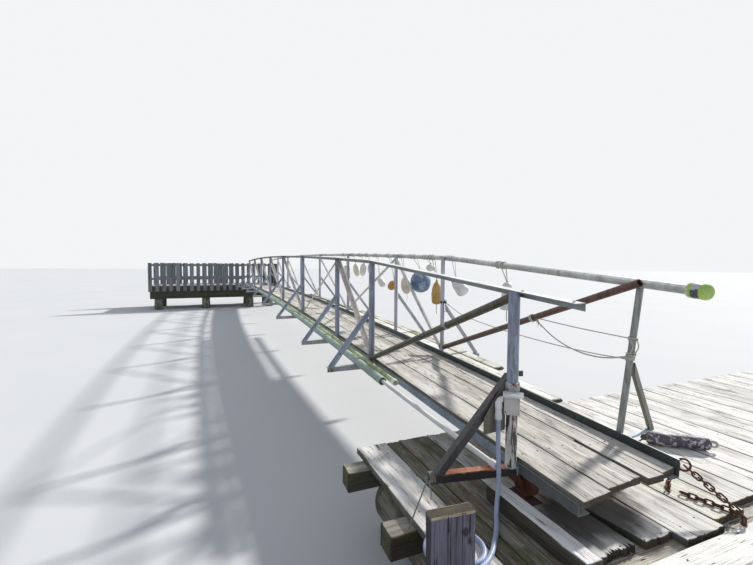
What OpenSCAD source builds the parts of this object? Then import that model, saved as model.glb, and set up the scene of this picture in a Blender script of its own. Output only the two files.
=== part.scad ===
// Jetty: a timber float, a cambered metal gangway with a lengthwise board deck, and a pile pier head.
// X runs along the gangway from the float to the shore, Y to the left of that, Z up, in millimetres.
// The origin is on the water plane, on the gangway's centreline, under its first pair of posts.

/* [Gangway] */
// Width over the outer faces of the two bottom chords
gangway_w = 850; // [760:10:1200]
// Length of a long bay between two post pairs
long_bay = 2220; // [1600:10:2800]
// Length of the short second bay
short_bay = 1283; // [1000:1:2400]
// Number of long bays past the short one
far_bays = 6; // [3:1:6]
// Height of the camber line at the first posts, above the water
chord_top = 900; // [860:5:1200]
// Rise of the camber above the first posts
camber_rise = 223; // [60:1:400]
// Distance from the first posts to the top of the camber
camber_crown = 10070; // [8000:10:12000]
// Height of the rail's underside above the camber line
rail_h = 1037; // [900:1:1200]
// How much lower the rail is at the first posts
rail_dip = 90; // [0:5:150]
// Length of the left rail and chord past the first posts
toe_left = 443; // [300:1:600]
// Length of the right chord past the first posts
toe_right = 392; // [300:1:600]

/* [Sections] */
// Depth of the chords' undersides below the camber line
chord_drop = 110; // [105:1:130]
// Depth of the left chord angle
chord_left_h = 60; // [50:1:80]
// Depth of the right chord angle, which stands above the boards
chord_right_h = 105; // [80:1:108]
// Width of the chord's flat leg under the boards
chord_leg = 75; // [50:1:100]
// Thickness of all angle sections
angle_t = 6; // [4:1:10]
// Leg of the post and transom angles
post_leg = 50; // [40:1:65]
// Leg of the left rail's angle that hangs down inside the posts
rail_leg = 40; // [30:1:60]
// Leg of the brace angles
brace_leg = 45; // [35:1:60]
// Outer diameter of the first left post and width of the left rail
rail_d = 65; // [60:1:76]
// Outer diameter of the right handrail pipe
pipe_d = 56; // [48:1:60]
// Outer diameter of the leaning first post on the right
lean_d = 42; // [34:1:50]
// Outer diameter of the pipe diagonals
diag_d = 52; // [32:1:52]
// Wall of the pipes
pipe_t = 4; // [2:0.5:6]
// Reach of the outriggers past the chord on each side
outrigger = 525; // [300:5:700]
// Depth of the outriggers' tops below the camber line
outrigger_drop = 75; // [70:1:85]
// Height of the braces' tops above the camber line
brace_top = 470; // [300:5:700]

/* [Boards] */
// Thickness of the lower layer of gangway boards
board_t = 44; // [32:1:50]
// Thickness of the newer boards on top of the two left lines
top_board_t = 38; // [25:1:45]
// Thickness of the float and pier boards
plank_t = 45; // [32:1:60]
// Seam between two boards
seam = 6; // [3:1:12]
// Width of the boards on the right part of the float
float_board = 270; // [200:1:320]
// Number of boards on the right part of the float
float_boards = 16; // [6:1:20]

/* [Float] */
// Height of the float's boards above the water
float_deck = 600; // [540:5:700]
// Far edge of the boards to the right of the gangway
float_far = 1200; // [900:10:1500]
// Far edge of the boards on the left platform
platform_far = 1010; // [960:10:1020]
// Left edge of the left platform
platform_left = 1050; // [1000:10:1400]
// Near end of the lengthwise boards
float_near = -550; // [-700:10:-500]
// Width of one of the five crosswise planks of the walkway part
walk_plank = 272; // [200:1:300]
// Diameter of the flotation logs
log_d = 460; // [420:5:560]
// Depth of the timber bearers
bearer_h = 140; // [100:5:180]
// Width of the timber bearers
bearer_w = 145; // [100:5:200]
// Width of the curb timber beside the roller
curb_w = 95; // [60:5:140]
// Height of the curb timber
curb_h = 100; // [60:5:120]

/* [Pier] */
// Diameter of the piles
pile_d = 330; // [250:5:450]
// Distance between piles along the pier
pile_bay = 1820; // [1400:10:2400]
// Width of the pier deck
pier_w = 1900; // [1500:10:2600]
// Height of the cap timbers on the piles
cap_h = 295; // [200:5:350]
// Height of the stringers on the caps
stringer_h = 200; // [150:5:250]
// Width of a picket
picket_w = 140; // [90:5:160]
// Gap between pickets
picket_gap = 110; // [60:5:150]
// Height of the railing above the pier deck
picket_rise = 960; // [850:10:1150]
// How far the pickets reach below the pier deck
picket_drop = 230; // [100:10:300]

/* [Moving parts] */
// Diameter of the toe roller
roller_d = 160; // [120:1:170]
// Width of the toe roller
roller_w = 60; // [40:1:90]
// Diameter of the roller's axle
axle_d = 25; // [16:1:32]
// Diameter of the two hinge pins at the pier
pin_d = 25; // [20:1:32]
// Radial clearance of a pin in its bore
pin_play = 0.05; // [0.01:0.01:0.1]
// Gap left between the gangway and the float or the pier
work_gap = 5; // [5:0.5:12]

/* [Fittings] */
// Wire diameter of the mooring chain
chain_wire = 10; // [8:0.5:13]
// Inner length of a chain link
link_inner = 40; // [36:1:60]
// Outer width of a chain link
link_w = 36; // [32:1:50]
// Diameter of the foam pad on the rail's end
pad_d = 92; // [80:1:140]
// Length of the foam pad
pad_l = 125; // [100:5:220]

/* [Hidden] */
$fn = 48;

metal = [0.62, 0.66, 0.72];
weathered = [0.60, 0.57, 0.52];
pile_grey = [0.42, 0.45, 0.38];
picket_grey = [0.45, 0.47, 0.52];
rust = [0.38, 0.16, 0.10];

// Post pairs along the gangway and the polyline of the camber through them
stations = concat([0, long_bay], [for (i = [0:far_bays]) long_bay + short_bay + i * long_bay]);
last = len(stations) - 1;
camber_r = (camber_crown * camber_crown + camber_rise * camber_rise) / (2 * camber_rise);
function camber(x) = chord_top + camber_rise - camber_r
    + sqrt(camber_r * camber_r - (x - camber_crown) * (x - camber_crown));
function bay_at(x) = max(0, min(last - 1, len([for (s = stations) if (s <= x) s]) - 1));
function between(x, x0, x1, z0, z1) = z0 + (z1 - z0) * (x - x0) / (x1 - x0);
function chord_z(x) = let(i = bay_at(x))
    between(x, stations[i], stations[i + 1], camber(stations[i]), camber(stations[i + 1]));
function rail_at(i) = camber(stations[i]) + rail_h - (i == 0 ? rail_dip : 0);
function rail_z(x) = let(i = bay_at(x))
    between(x, stations[i], stations[i + 1], rail_at(i), rail_at(i + 1));

half_w = gangway_w / 2;
gangway_end = stations[last] + 110;
slab = chord_drop - angle_t;
deck_top = slab - board_t;
// Height of the cross bar's top at a station: it touches the sloping chords along one edge
function seat_z(i) = min([for (s = [-1, 0, 1]) chord_z(stations[i] + s * post_leg / 2)]) - chord_drop;
// Height of the outriggers' level tops at a station
function stub_top(i) = seat_z(i) + chord_drop - outrigger_drop;
transom_end = half_w + outrigger;
sleeve_l = 90;
sleeve_wall = 4;
rail_y = half_w + post_leg + pipe_d / 2 + sleeve_wall;
// Height of the pipe's axis above the rail line
rail_up = rail_d - pipe_d / 2;
hinge_drop = 45;
hinge_x = gangway_end + 17;
hinge_z = chord_z(gangway_end) - chord_drop - hinge_drop;
pier_face = hinge_x + 60;
pier_deck = chord_z(gangway_end) - deck_top + 29;

// Polyline strip that follows the gangway from x0 to x1, from the height lo to hi over the camber
// line, as seen from the side; it starts at the side y and is w wide towards +Y
function stops(x0, x1) = concat([x0], [for (s = stations) if (s > x0 + 1 && s < x1 - 1) s], [x1]);
module strip(x0, x1, lo, hi, y, w) {
    xs = stops(x0, x1);
    translate([0, y + w, 0]) rotate([90, 0, 0]) linear_extrude(height = w)
        polygon(concat([for (x = xs) [x, chord_z(x) + lo]],
            [for (i = [len(xs) - 1:-1:0]) [xs[i], chord_z(xs[i]) + hi]]));
}
// The same along the rail's underside
module rail_strip(x0, x1, lo, hi, y, w) {
    xs = stops(x0, x1);
    translate([0, y + w, 0]) rotate([90, 0, 0]) linear_extrude(height = w)
        polygon(concat([for (x = xs) [x, rail_z(x) + lo]],
            [for (i = [len(xs) - 1:-1:0]) [xs[i], rail_z(xs[i]) + hi]]));
}
// Angle section along +X with its corner on the X axis and its legs towards +Y and +Z
module angle_bar(length, leg, t = angle_t)
    rotate([90, 0, 90]) linear_extrude(height = length)
        polygon([[0, 0], [leg, 0], [leg, t], [t, t], [t, leg], [0, leg]]);
// Upright angle section from the height z0 to z1, one leg along X and one towards +Y
module upright(z0, z1, leg, t = angle_t)
    translate([0, 0, z0]) linear_extrude(height = z1 - z0)
        polygon([[-leg / 2, 0], [leg / 2, 0], [leg / 2, leg], [leg / 2 - t, leg], [leg / 2 - t, t],
            [-leg / 2, t]]);
// Places a bar that is drawn along +X so that it runs from the point a to the point b
module from_to(a, b) {
    d = b - a;
    translate(a) rotate([0, -atan2(d[2], norm([d[0], d[1]])), atan2(d[1], d[0])]) children();
}
// Hollow pipe from a to b
module pipe(a, b, d, t = pipe_t)
    from_to(a, b) rotate([0, 90, 0]) difference() {
        cylinder(d = d, h = norm(b - a));
        translate([0, 0, -1]) cylinder(d = d - 2 * t, h = norm(b - a) + 2);
    }
module solid_rod(a, b, d)
    from_to(a, b) rotate([0, 90, 0]) cylinder(d = d, h = norm(b - a));

module chord(h, toe) {
    strip(-toe, gangway_end, -chord_drop, h - chord_drop, half_w - angle_t, angle_t);
    strip(-toe, gangway_end, -chord_drop, -slab, half_w - chord_leg, chord_leg);
}
module left_chord()
    color(metal) chord(chord_left_h, toe_left);
module right_chord()
    color(metal) mirror([0, 1, 0]) chord(chord_right_h, toe_right);

// The first post on the left is a round pipe; the others are angles outside the chord
module left_posts()
    color(metal) {
        first_post(rail_z(-rail_d / 2) - stub_top(0), rail_d - 2 * pipe_t);
        for (i = [1:last]) translate([stations[i], half_w, 0])
            upright(stub_top(i), rail_foot(i), post_leg);
    }
// Round first post, solid where bore is 0
module first_post(h, bore)
    translate([0, half_w + rail_d / 2, stub_top(0)]) difference() {
        cylinder(d = rail_d, h = h);
        if (bore > 0) translate([0, 0, -1]) cylinder(d = bore, h = h + 2);
    }
// A post stops square under the lower of the rail's two ends over it
function rail_foot(i) = min(rail_z(stations[i] - post_leg / 2), rail_z(stations[i] + post_leg / 2),
    rail_at(i));

// The first post on the right is a pipe that leans towards the toe and outwards
lean_foot = [6, half_w + 28, stub_top(0) + 2];
lean_top = [-68, rail_y, rail_z(-68) + rail_up];
function lean_at(z) = [between(z, lean_foot[2], lean_top[2], lean_foot[0], lean_top[0]),
    between(z, lean_foot[2], lean_top[2], lean_foot[1], lean_top[1]), z];
pipe_near = -445;
module right_posts()
    color(metal) {
        mirror([0, 1, 0]) difference() {
            pipe(lean_foot, lean_top, lean_d);
            solid_rod([pipe_near, rail_y, rail_z(pipe_near) + rail_up],
                [long_bay, rail_y, rail_z(long_bay) + rail_up], pipe_d);
        }
        for (i = [1:last]) translate([stations[i], -half_w, 0]) mirror([0, 1, 0])
            upright(stub_top(i), rail_at(i) + rail_d * 0.8, post_leg);
    }

module left_rail()
    color(metal) {
        rail_strip(-toe_left, gangway_end, 0, angle_t, half_w - angle_t, rail_d + angle_t);
        rail_strip(-toe_left, gangway_end, angle_t - rail_leg, angle_t, half_w - angle_t, angle_t);
    }

// Round rods laid end to end through the points, joined by a sleeve over each inner point
end_gap = 5;
module run_through(points, d) {
    n = len(points);
    for (k = [0:n - 2]) {
        a = points[k];
        b = points[k + 1];
        step = (b - a) / norm(b - a) * end_gap;
        solid_rod(k == 0 ? a : a + step, k == n - 2 ? b : b - step, d);
        if (k > 0) solid_rod(a - step / end_gap * sleeve_l / 2, a + step / end_gap * sleeve_l / 2,
            d + 2 * sleeve_wall);
    }
}
module right_rail()
    color(metal) run_through([for (x = stops(pipe_near, gangway_end)) if (abs(x) > 1)
        [x, -rail_y, rail_z(x) + rail_up]], pipe_d);

// Clear face of one bay of a side: between the posts, over the outriggers and under the rail
module bay_window(i, depth) {
    x0 = stations[i] + post_leg / 2;
    x1 = stations[i + 1] - post_leg / 2;
    translate([0, depth, 0]) rotate([90, 0, 0]) linear_extrude(height = depth)
        polygon([[x0, chord_z(x0) - 50], [x1, chord_z(x1) - 50], [x1, rail_z(x1)], [x0, rail_z(x0)]]);
}
// Angle diagonal of one bay, cut to the bay; up is true where it climbs towards the shore
module angle_diagonal(i, up, leg, depth) {
    z0 = up ? chord_z(stations[i]) : rail_at(i);
    z1 = up ? rail_at(i + 1) : chord_z(stations[i + 1]);
    intersection() {
        bay_window(i, depth);
        from_to([stations[i], 0, z0 - leg / 2], [stations[i + 1], 0, z1 - leg / 2])
            angle_bar(norm([stations[i + 1] - stations[i], z1 - z0]), leg);
    }
}
module diagonals() {
    angle_diagonal(1, true, post_leg, post_leg);
    angle_diagonal(2, false, 25, 25);
    for (i = [3:last - 1]) angle_diagonal(i, true, brace_leg, brace_leg);
}
// Pipe diagonal of the first bay, down to the second post's foot
module first_diagonal(top, foot)
    difference() {
        pipe(top, foot, diag_d);
        translate([long_bay - post_leg / 2, 0, 0]) cube([200, 1000, 2000]);
    }
module left_diagonals()
    color(metal) {
        translate([0, half_w, 0]) diagonals();
        difference() {
            first_diagonal([0, half_w + rail_d / 2, rail_at(0) - 30],
                [long_bay, half_w + diag_d / 2 + 1, chord_z(long_bay) - 25]);
            first_post(rail_h, 0);
        }
    }
// On the right it runs inside the leaning post and the rail
diag_top = [-100, half_w + diag_d / 2 + 1, rail_at(0) + 38];
diag_foot = [long_bay, diag_top[1], chord_z(long_bay) + 28];
module right_diagonals()
    color([0.50, 0.40, 0.33]) mirror([0, 1, 0]) {
        translate([0, half_w, 0]) diagonals();
        first_diagonal(diag_top, diag_foot);
    }

// Cross angles under the chords, each with a packing bar under the boards, and outriggers outside them;
// the first station has the packing bar alone, over the roller
first_skew = 11;
tie_skew = 8;
module transoms()
    color(metal) {
        for (i = [0:last]) {
            z = seat_z(i);
            if (i > 0) translate([stations[i] - post_leg / 2, -half_w, z]) cross_angle(2 * half_w);
            translate([stations[i] - post_leg / 2, -half_w + chord_leg, z])
                cube([post_leg, gangway_w - 2 * chord_leg, angle_t]);
            outrigger_bar(i, i == 0 ? first_skew : 0) translate([-post_leg / 2, -50, 0])
                cross_angle(outrigger + 50);
            mirror([0, 1, 0]) outrigger_bar(i, i == 0 ? tie_skew : 0)
                if (i > 0) translate([-post_leg / 2, -50, 0]) cross_angle(outrigger + 50);
                else translate([-13, -50, -12]) cube([26, outrigger - 25, 12]);
        }
    }
// Angle along +Y with its flat top at z = 0 and a leg hanging down
module cross_angle(length)
    mirror([0, 0, 1]) rotate([0, 0, 90]) mirror([0, 1, 0]) angle_bar(length, post_leg);
// Places an outrigger at a station, turned by skew, and cuts it off on the chord's outer face
module outrigger_bar(i, skew)
    intersection() {
        translate([stations[i], half_w, stub_top(i)]) rotate([0, 0, -skew]) children();
        translate([stations[i] - 300, half_w, stub_top(i) - 200]) cube([600, 1000, 300]);
    }

// Braces from the posts down to the ends of the outriggers; turned by 180 the legs face inwards
module brace(top, foot, turned = 0) {
    reach = (foot - top) * 0.08;
    intersection() {
        from_to(top - reach, foot + reach) rotate([turned, 0, 0])
            angle_bar(norm(foot - top) * 1.16, brace_leg);
        translate([top[0] - 200, top[1], foot[2]])
            cube([400, foot[1] - top[1] + brace_leg, top[2] - foot[2] + 90]);
    }
}
module braces()
    for (i = [1:last]) brace([stations[i], half_w + post_leg, camber(stations[i]) + brace_top],
        [stations[i], transom_end - brace_leg - 15, stub_top(i)]);
module left_braces()
    color(metal) {
        braces();
        difference() {
            brace([20, half_w + 35, chord_top + brace_top - 6], [62, transom_end - 22, stub_top(0)], 180);
            first_post(rail_h, 0);
        }
    }
lean_brace = lean_at(chord_top + brace_top - 10);
module right_braces()
    color(metal) mirror([0, 1, 0]) {
        braces();
        brace(lean_brace + [-22, lean_d / 2 + 3, 0], [35, half_w + 435, stub_top(0)], 180);
    }

// Five lines of lengthwise boards: width, gap on the right, near end and where the butts start; the two
// left lines carry a second layer
lines = [[208, 8, -468, 2], [190, 41, -430, 4], [100, 28, -370, 3], [127, 5, -395, 5],
    [127, 0, -385, 2]];
// Clearance between the boards and the chords' legs
board_lift = 0.02;
line_sum = 834;
line_scale = (gangway_w - 2 * angle_t - 4) / line_sum;
function used_up_to(i) = i == 0 ? 0 : used_up_to(i - 1) + lines[i - 1][0] + lines[i - 1][1];
function line_y(i) = half_w - angle_t - 2 - line_scale * used_up_to(i);
module gangway_boards()
    color(weathered) for (i = [0:len(lines) - 1]) {
        board_line(i, lines[i][2] + (i < 2 ? 80 : 0), board_lift - slab, -deck_top);
        if (i < 2) board_line(i, lines[i][2], board_lift - deck_top, top_board_t - deck_top);
    }
// One line of boards from its near end, between two heights
module board_line(i, near, lo, hi) {
    w = lines[i][0] * line_scale;
    cuts = concat([near], [for (k = [lines[i][3]:3:last - 1]) stations[k]], [gangway_end]);
    for (k = [0:len(cuts) - 2])
        strip(cuts[k] + (k == 0 ? 0 : 2), cuts[k + 1] - (k == len(cuts) - 2 ? 0 : 2), lo, hi,
            line_y(i) - w, w);
}

// Toe roller with its fixed fork under the left chord, inside the curb
roller_x = 30;
roller_y = 310;
roller_z = float_deck + work_gap + roller_d / 2;
fork_gap = 2;
fork_t = 10;
module toe_roller()
    color(rust) translate([roller_x, roller_y, roller_z]) rotate([90, 0, 0]) difference() {
        union() {
            rotate_extrude() polygon([[axle_d, -roller_w / 2], [roller_d / 2 - 22, -roller_w / 2 + 14],
                [roller_d / 2 - 14, -roller_w / 2], [roller_d / 2 - 3, -roller_w / 2],
                [roller_d / 2, -roller_w / 2 + 3], [roller_d / 2, roller_w / 2 - 3],
                [roller_d / 2 - 3, roller_w / 2], [roller_d / 2 - 14, roller_w / 2],
                [roller_d / 2 - 22, roller_w / 2 - 14], [axle_d, roller_w / 2]]);
            cylinder(r = axle_d + 1, h = roller_w, center = true);
        }
        cylinder(d = axle_d + 2 * pin_play, h = roller_w + 2, center = true);
    }
module roller_bracket()
    color(rust) {
        for (s = [-1, 1]) translate([roller_x, roller_y + s * (roller_w / 2 + fork_gap + fork_t / 2), 0])
            fork_plate();
        translate([roller_x, roller_y, roller_z]) rotate([90, 0, 0])
            cylinder(d = axle_d, h = roller_w + 2 * (fork_gap + fork_t) + 16, center = true);
        translate([0, half_w - 4, 0]) rotate([90, 0, 0])
            linear_extrude(height = half_w - 4 - roller_y + roller_w / 2 + fork_gap + fork_t)
            polygon([[plate_x, plate_z], [plate_x + plate_l, plate_z],
                [plate_x + plate_l, lug_top(plate_x + plate_l)], [plate_x, lug_top(plate_x)]]);
    }
// Plate under the chord's flat leg beside the first transom, and one side of the fork hung from it
plate_x = post_leg / 2 + 13;
plate_l = 100;
plate_z = chord_top - chord_drop - 12;
module fork_plate()
    rotate([90, 0, 0]) linear_extrude(height = fork_t, center = true) difference() {
        union() {
            translate([0, roller_z]) circle(d = axle_d + 26);
            translate([plate_x - roller_x, roller_z - 20]) square([plate_l, plate_z - roller_z + 20]);
        }
        translate([0, roller_z]) circle(d = axle_d);
    }

// Hinge at the shore end: a lug under each chord between two cheeks on the pier's face
lug_t = 20;
lug_l = 80;
cheek_t = 10;
hinge_y = half_w - angle_t - 33;
module hinge_lugs()
    color(metal) for (s = [-1, 1]) translate([0, s * hinge_y, 0]) rotate([90, 0, 0])
        linear_extrude(height = lug_t, center = true) difference() {
            union() {
                translate([hinge_x, hinge_z]) circle(d = pin_d + 40);
                polygon([[gangway_end - lug_l, lug_top(gangway_end - lug_l)],
                    [gangway_end, lug_top(gangway_end)], [hinge_x + pin_d / 2 + 20, hinge_z],
                    [hinge_x, hinge_z - pin_d / 2 - 20]]);
            }
            translate([hinge_x, hinge_z]) circle(d = pin_d + 2 * pin_play);
        }
function lug_top(x) = chord_z(x) - chord_drop;
module hinge_pins()
    color(metal) for (s = [-1, 1]) translate([hinge_x, s * hinge_y, hinge_z]) rotate([90, 0, 0]) {
        cylinder(d = pin_d, h = lug_t + 2 * (fork_gap + cheek_t) + 12, center = true);
        translate([0, 0, s * (lug_t / 2 + fork_gap + cheek_t + 3)])
            cylinder(d = pin_d + 14, h = 6, center = true);
    }
module hinge_brackets()
    color(metal) for (s = [-1, 1]) translate([0, s * hinge_y, 0]) {
        for (c = [-1, 1]) translate([0, c * (lug_t / 2 + fork_gap + cheek_t / 2), 0]) rotate([90, 0, 0])
            linear_extrude(height = cheek_t, center = true) difference() {
                union() {
                    translate([hinge_x, hinge_z]) circle(d = pin_d + 30);
                    translate([hinge_x, hinge_z - 40]) square([pier_face - 10 - hinge_x, 60]);
                }
                translate([hinge_x, hinge_z]) circle(d = pin_d + 2 * pin_play);
            }
        translate([pier_face - 10, -60, hinge_z - 60]) cube([10, 120, 100]);
    }

// Switch box on the first left post, turned by box_turn to face away from the walkway, with an elbow
box_z = chord_top + 255;
box_turn = 139;
box_w = 84;
box_t = 70;
box_h = 105;
elbow_r = 22;
elbow_at = [-5, 557];
elbow_end = 1120;
conduit_d = 26;
module switch_box()
    color([0.75, 0.77, 0.80]) {
        difference() {
            translate([0, half_w + rail_d / 2, box_z]) rotate([0, 0, box_turn]) {
                translate([rail_d / 2 - 8, -box_w / 2, 0]) cube([box_t, box_w, box_h]);
                translate([rail_d / 2 - 8, -box_w / 2 - 8, box_h]) cube([box_t + 14, box_w + 26, 12]);
            }
            first_post(rail_h, 0);
        }
        translate([elbow_at[0], elbow_at[1], box_z + 59]) rotate([0, 0, box_turn]) {
            translate([0, elbow_r - 4, elbow_r]) rotate([-90, 0, 0]) cylinder(d = 40, h = 12);
            translate([0, elbow_r, 0]) rotate([0, -90, 0]) rotate([0, 0, -90])
                rotate_extrude(angle = 90) translate([elbow_r, 0]) circle(d = 32);
            translate([0, 0, elbow_end - box_z - 59]) cylinder(d = 40, h = box_z + 63 - elbow_end);
        }
    }
module rail_pad()
    color([0.75, 0.95, 0.10]) from_to([-475, -rail_y, rail_z(-475) + rail_up],
        [-475 + pad_l, -rail_y, rail_z(-475 + pad_l) + rail_up]) rotate([0, 90, 0])
        rotate_extrude() polygon([[0, 0], [pad_d / 2 - 12, 0], [pad_d / 2, 12],
            [pad_d / 2, pad_l - 6], [pad_d / 2 - 6, pad_l], [pipe_d / 2 + 0.5, pad_l],
            [pipe_d / 2 + 0.5, 29], [0, 29]]);
// Water pipes on the outriggers outside the left chord: side, diameter, near end, far end; the thin
// supply pipe runs out of the open near end of the thick one
runs = [[half_w + 90, 50, 1460, 9900], [half_w + 200, 76, 1505, 16700]];
mouth = runs[1][2];
function run_z(x, d) = chord_z(x) - outrigger_drop + d / 2 + sleeve_wall;
module side_pipes()
    color([0.70, 0.78, 0.70]) {
        difference() {
            for (r = runs) pipe_run(r[2], r[3], r[0], r[1]);
            solid_rod([mouth - 5, runs[1][0], run_z(mouth - 5, 76)],
                [mouth + 260, runs[1][0], run_z(mouth + 260, 76)], 60);
        }
        solid_rod([-6, half_w + 135, stub_top(0) + 17.5], [mouth + 200, runs[1][0], run_z(mouth + 200, 76)], 34);
    }
module pipe_run(x0, x1, y, d)
    run_through([for (x = stops(x0, x1)) [x, y, run_z(x, d)]], d);
// Boards laid on the outriggers outside the right chord
module side_planks()
    color(weathered) {
        strip(620, 5600, 0.3 - outrigger_drop, board_t - outrigger_drop, -half_w - 197, 140);
        strip(1520, 9800, 0.3 - outrigger_drop, board_t - outrigger_drop, -half_w - 340, 138);
    }

// Fishing floats hung from the handrail: the post pair it hangs near and the distance past that,
// distance from the rail's axis, drop from it to the float's top, height, widest diameter and shape
floats = [[3, 477, 88, 208, 290, 150, 0], [3, -133, 78, 173, 260, 115, 1], [3, -523, 78, 163, 250, 115, 1],
    [2, 1247, 78, 133, 205, 110, 1], [2, 837, 88, 398, 148, 150, 0], [2, 397, 88, 402, 138, 140, 3],
    [2, -73, 88, 312, 230, 140, 3], [1, 870, 118, 189, 310, 285, 3], [1, 480, 78, 82, 76, 110, 3],
    [1, 350, 78, 288, 310, 125, 2], [1, -130, 108, 236, 182, 200, 2], [1, -950, 78, 164, 275, 138, 2]];
// Half outline of a float from its bottom up: 0 drum, 1 long egg, 2 bullet or bell, 3 ball or disc
function outline(kind, r, h) =
    kind == 0 ? [[0, 0], [r * 0.8, 0], [r, h * 0.1], [r, h * 0.9], [r * 0.8, h], [0, h]]
    : kind == 2 ? concat([[0, 0], [r * 0.9, 0]],
        [for (a = [0:15:75]) [r * cos(a), h * (0.15 + 0.85 * sin(a))]], [[0, h]])
    : concat([[0, 0]], [for (a = [-75:15:75]) [r * cos(a), h / 2 * (1 + sin(a))]], [[0, h]]);
module hung_floats()
    color([0.85, 0.84, 0.78]) for (f = floats) {
        x = stations[f[0]] + f[1];
        axis = [x, -rail_y, rail_z(x) + rail_up];
        head = axis - [0, f[2], f[3]];
        translate(head - [0, 0, f[4]]) rotate_extrude() polygon(outline(f[6], f[5] / 2, f[4]));
        float_line(head - [0, 0, 8], axis);
    }
// The short line of a float, from its top to the handrail's surface
float_line_d = 12;
module float_line(from, rail)
    solid_rod(from, rail + (from - rail) / norm(from - rail) * (pipe_d / 2 + 1), float_line_d);

// Mooring chain from the ring on the right chord's end to an eye on the float
ring_c = [-toe_right - 3, -half_w - 32, chord_top - 55];
ring_r = 32;
ring_wire = 12;
ring_turn = [0, 76, 132];
eye = [float_near - 80, -half_w - 160, float_deck];
eye_z = 26;
eye_r = 19;
eye_wire = 11;
// Middle of the ring's wire and of the eye's wire where the chain loops round them
ring_hold = ring_c + [-21, -13, -20];
eye_hold = eye + [0, 0, eye_z + eye_r];
chain_dir = (eye_hold - ring_hold) / norm(eye_hold - ring_hold);
// The end link is wider and longer, so that the ring clears it when the float rises and falls
end_inner = 52;
end_w = 52;
link_play = 1;
roll = -17;
second = ring_hold + chain_dir * (1.5 + end_inner / 2 + link_inner / 2 - link_play);
final = eye_hold - chain_dir * (link_inner / 2 - eye_wire / 2 - link_play);
taut_links = ceil(norm(final - second) / link_inner);
slack_z = float_deck + (link_w - chain_wire) / 2 * sin(45) + chain_wire / 2 + 0.2;
module chain_ring()
    color(rust) {
        translate(ring_c) rotate(ring_turn) rotate_extrude()
            translate([ring_r, 0]) circle(d = ring_wire, $fn = 24);
        translate(ring_c + [4, 24, -33]) cube([44, 8, 50]);
    }
module chain_link(inner = link_inner, w = link_w) {
    r = (w - chain_wire) / 2;
    l = inner + chain_wire - 2 * r;
    for (s = [0, 180]) rotate([0, 0, s]) {
        translate([l / 2, 0, 0]) rotate([0, 0, -90]) rotate_extrude(angle = 180, $fn = 32)
            translate([r, 0]) circle(d = chain_wire, $fn = 20);
        translate([-l / 2, r, 0]) rotate([0, 90, 0]) cylinder(d = chain_wire, h = l, $fn = 20);
    }
}
// A straight row of links with their middles from a to b, each turned a quarter from the one before
module chain_row(a, b, n, first)
    from_to(a, b) for (k = [0:n]) translate([k * norm(b - a) / n, 0, 0])
        rotate([first + 90 * (k % 2), 0, 0]) chain_link();
module mooring_chain()
    color(rust) {
        from_to(ring_hold + chain_dir * 1.5, eye_hold) rotate([roll, 0, 0]) chain_link(end_inner, end_w);
        chain_row(second, final, taut_links, roll + 90);
        translate(eye + [0, 0, eye_z]) rotate([90, 0, 135]) rotate_extrude($fn = 32)
            translate([eye_r, 0]) circle(d = eye_wire, $fn = 20);
        translate(eye) cylinder(d = 30, h = 8);
        chain_row([-560, -650, slack_z], [-336, -583, slack_z], 6, 45);
        chain_row([-262, -545, slack_z], [-204, -645, slack_z], 3, 45);
    }

// Float: lengthwise boards on crosswise bearers over logs, and a walkway of crosswise planks
under_board = float_deck - plank_t;
under_bearer = under_board - bearer_h;
left_boards = [[platform_left, 240, platform_far], [805, 98, platform_far - 10], [700, 245, platform_far],
    [448, 190, platform_far + 15], [252, 145, platform_far], [98, 262, platform_far + 20],
    [-173, 308, platform_far + 10]];
float_right = -490 - float_boards * (float_board + seam);
walk_left = 2100;
walk_near = float_near - 70 - 5 * walk_plank;
module board(x0, x1, y_left, w)
    translate([x0, y_left - w, under_board]) cube([x1 - x0, w, plank_t]);
module float_boards()
    color(weathered) {
        for (b = left_boards) board(float_near + (b[0] % 7) * 12, b[2], b[0], b[1]);
        for (i = [0:float_boards - 1])
            board(float_near + (i * 5 % 7) * 12, float_far, -490 - i * (float_board + seam), float_board);
    }
module walkway_planks()
    color(weathered) for (i = [0:4]) {
        x = float_near - 70 - (i + 1) * walk_plank;
        cut = i % 2 == 0 ? -1500 : -3000;
        translate([x, float_right, under_board]) cube([walk_plank - seam, cut - float_right - 2, plank_t]);
        translate([x, cut + 2, under_board]) cube([walk_plank - seam, walk_left - cut - 2, plank_t]);
    }
log_sides = [700, 0, -1200, -2400, -3600, -4650];
module float_bearers()
    color([0.50, 0.46, 0.40]) {
        for (x = [740, 45]) translate([x, float_right + 30, under_bearer])
            cube([bearer_w, 1210 - float_right - 30, bearer_h]);
        translate([1040, float_right + 30, under_bearer]) cube([bearer_w, -520 - float_right, bearer_h]);
        translate([float_near - 60, float_right + 30, under_bearer])
            cube([bearer_w + 30, post_left - float_right - 30, bearer_h]);
        for (y = concat([1900], log_sides)) translate([walk_near + 30, y - bearer_w / 2, under_bearer])
            cube([float_near - 62 - walk_near - 30, bearer_w, bearer_h]);
    }
// Each log is cut off at the water plane and flattened under the bearers
module float_log(x0, x1)
    intersection() {
        translate([x0, 0, under_bearer - log_d / 2 + 12]) rotate([0, 90, 0])
            cylinder(d = log_d, h = x1 - x0);
        translate([x0, -log_d, 0]) cube([x1 - x0, 2 * log_d, under_bearer]);
    }
module float_logs()
    color(pile_grey) {
        for (y = log_sides) translate([0, y, 0]) float_log(walk_near + 60, y >= 0 ? 930 : 1120);
        translate([0, 1900, 0]) float_log(walk_near + 60, float_near - 100);
    }
module curb()
    color(weathered) translate([-620, 470, float_deck]) cube([700, curb_w, curb_h]);
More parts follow.
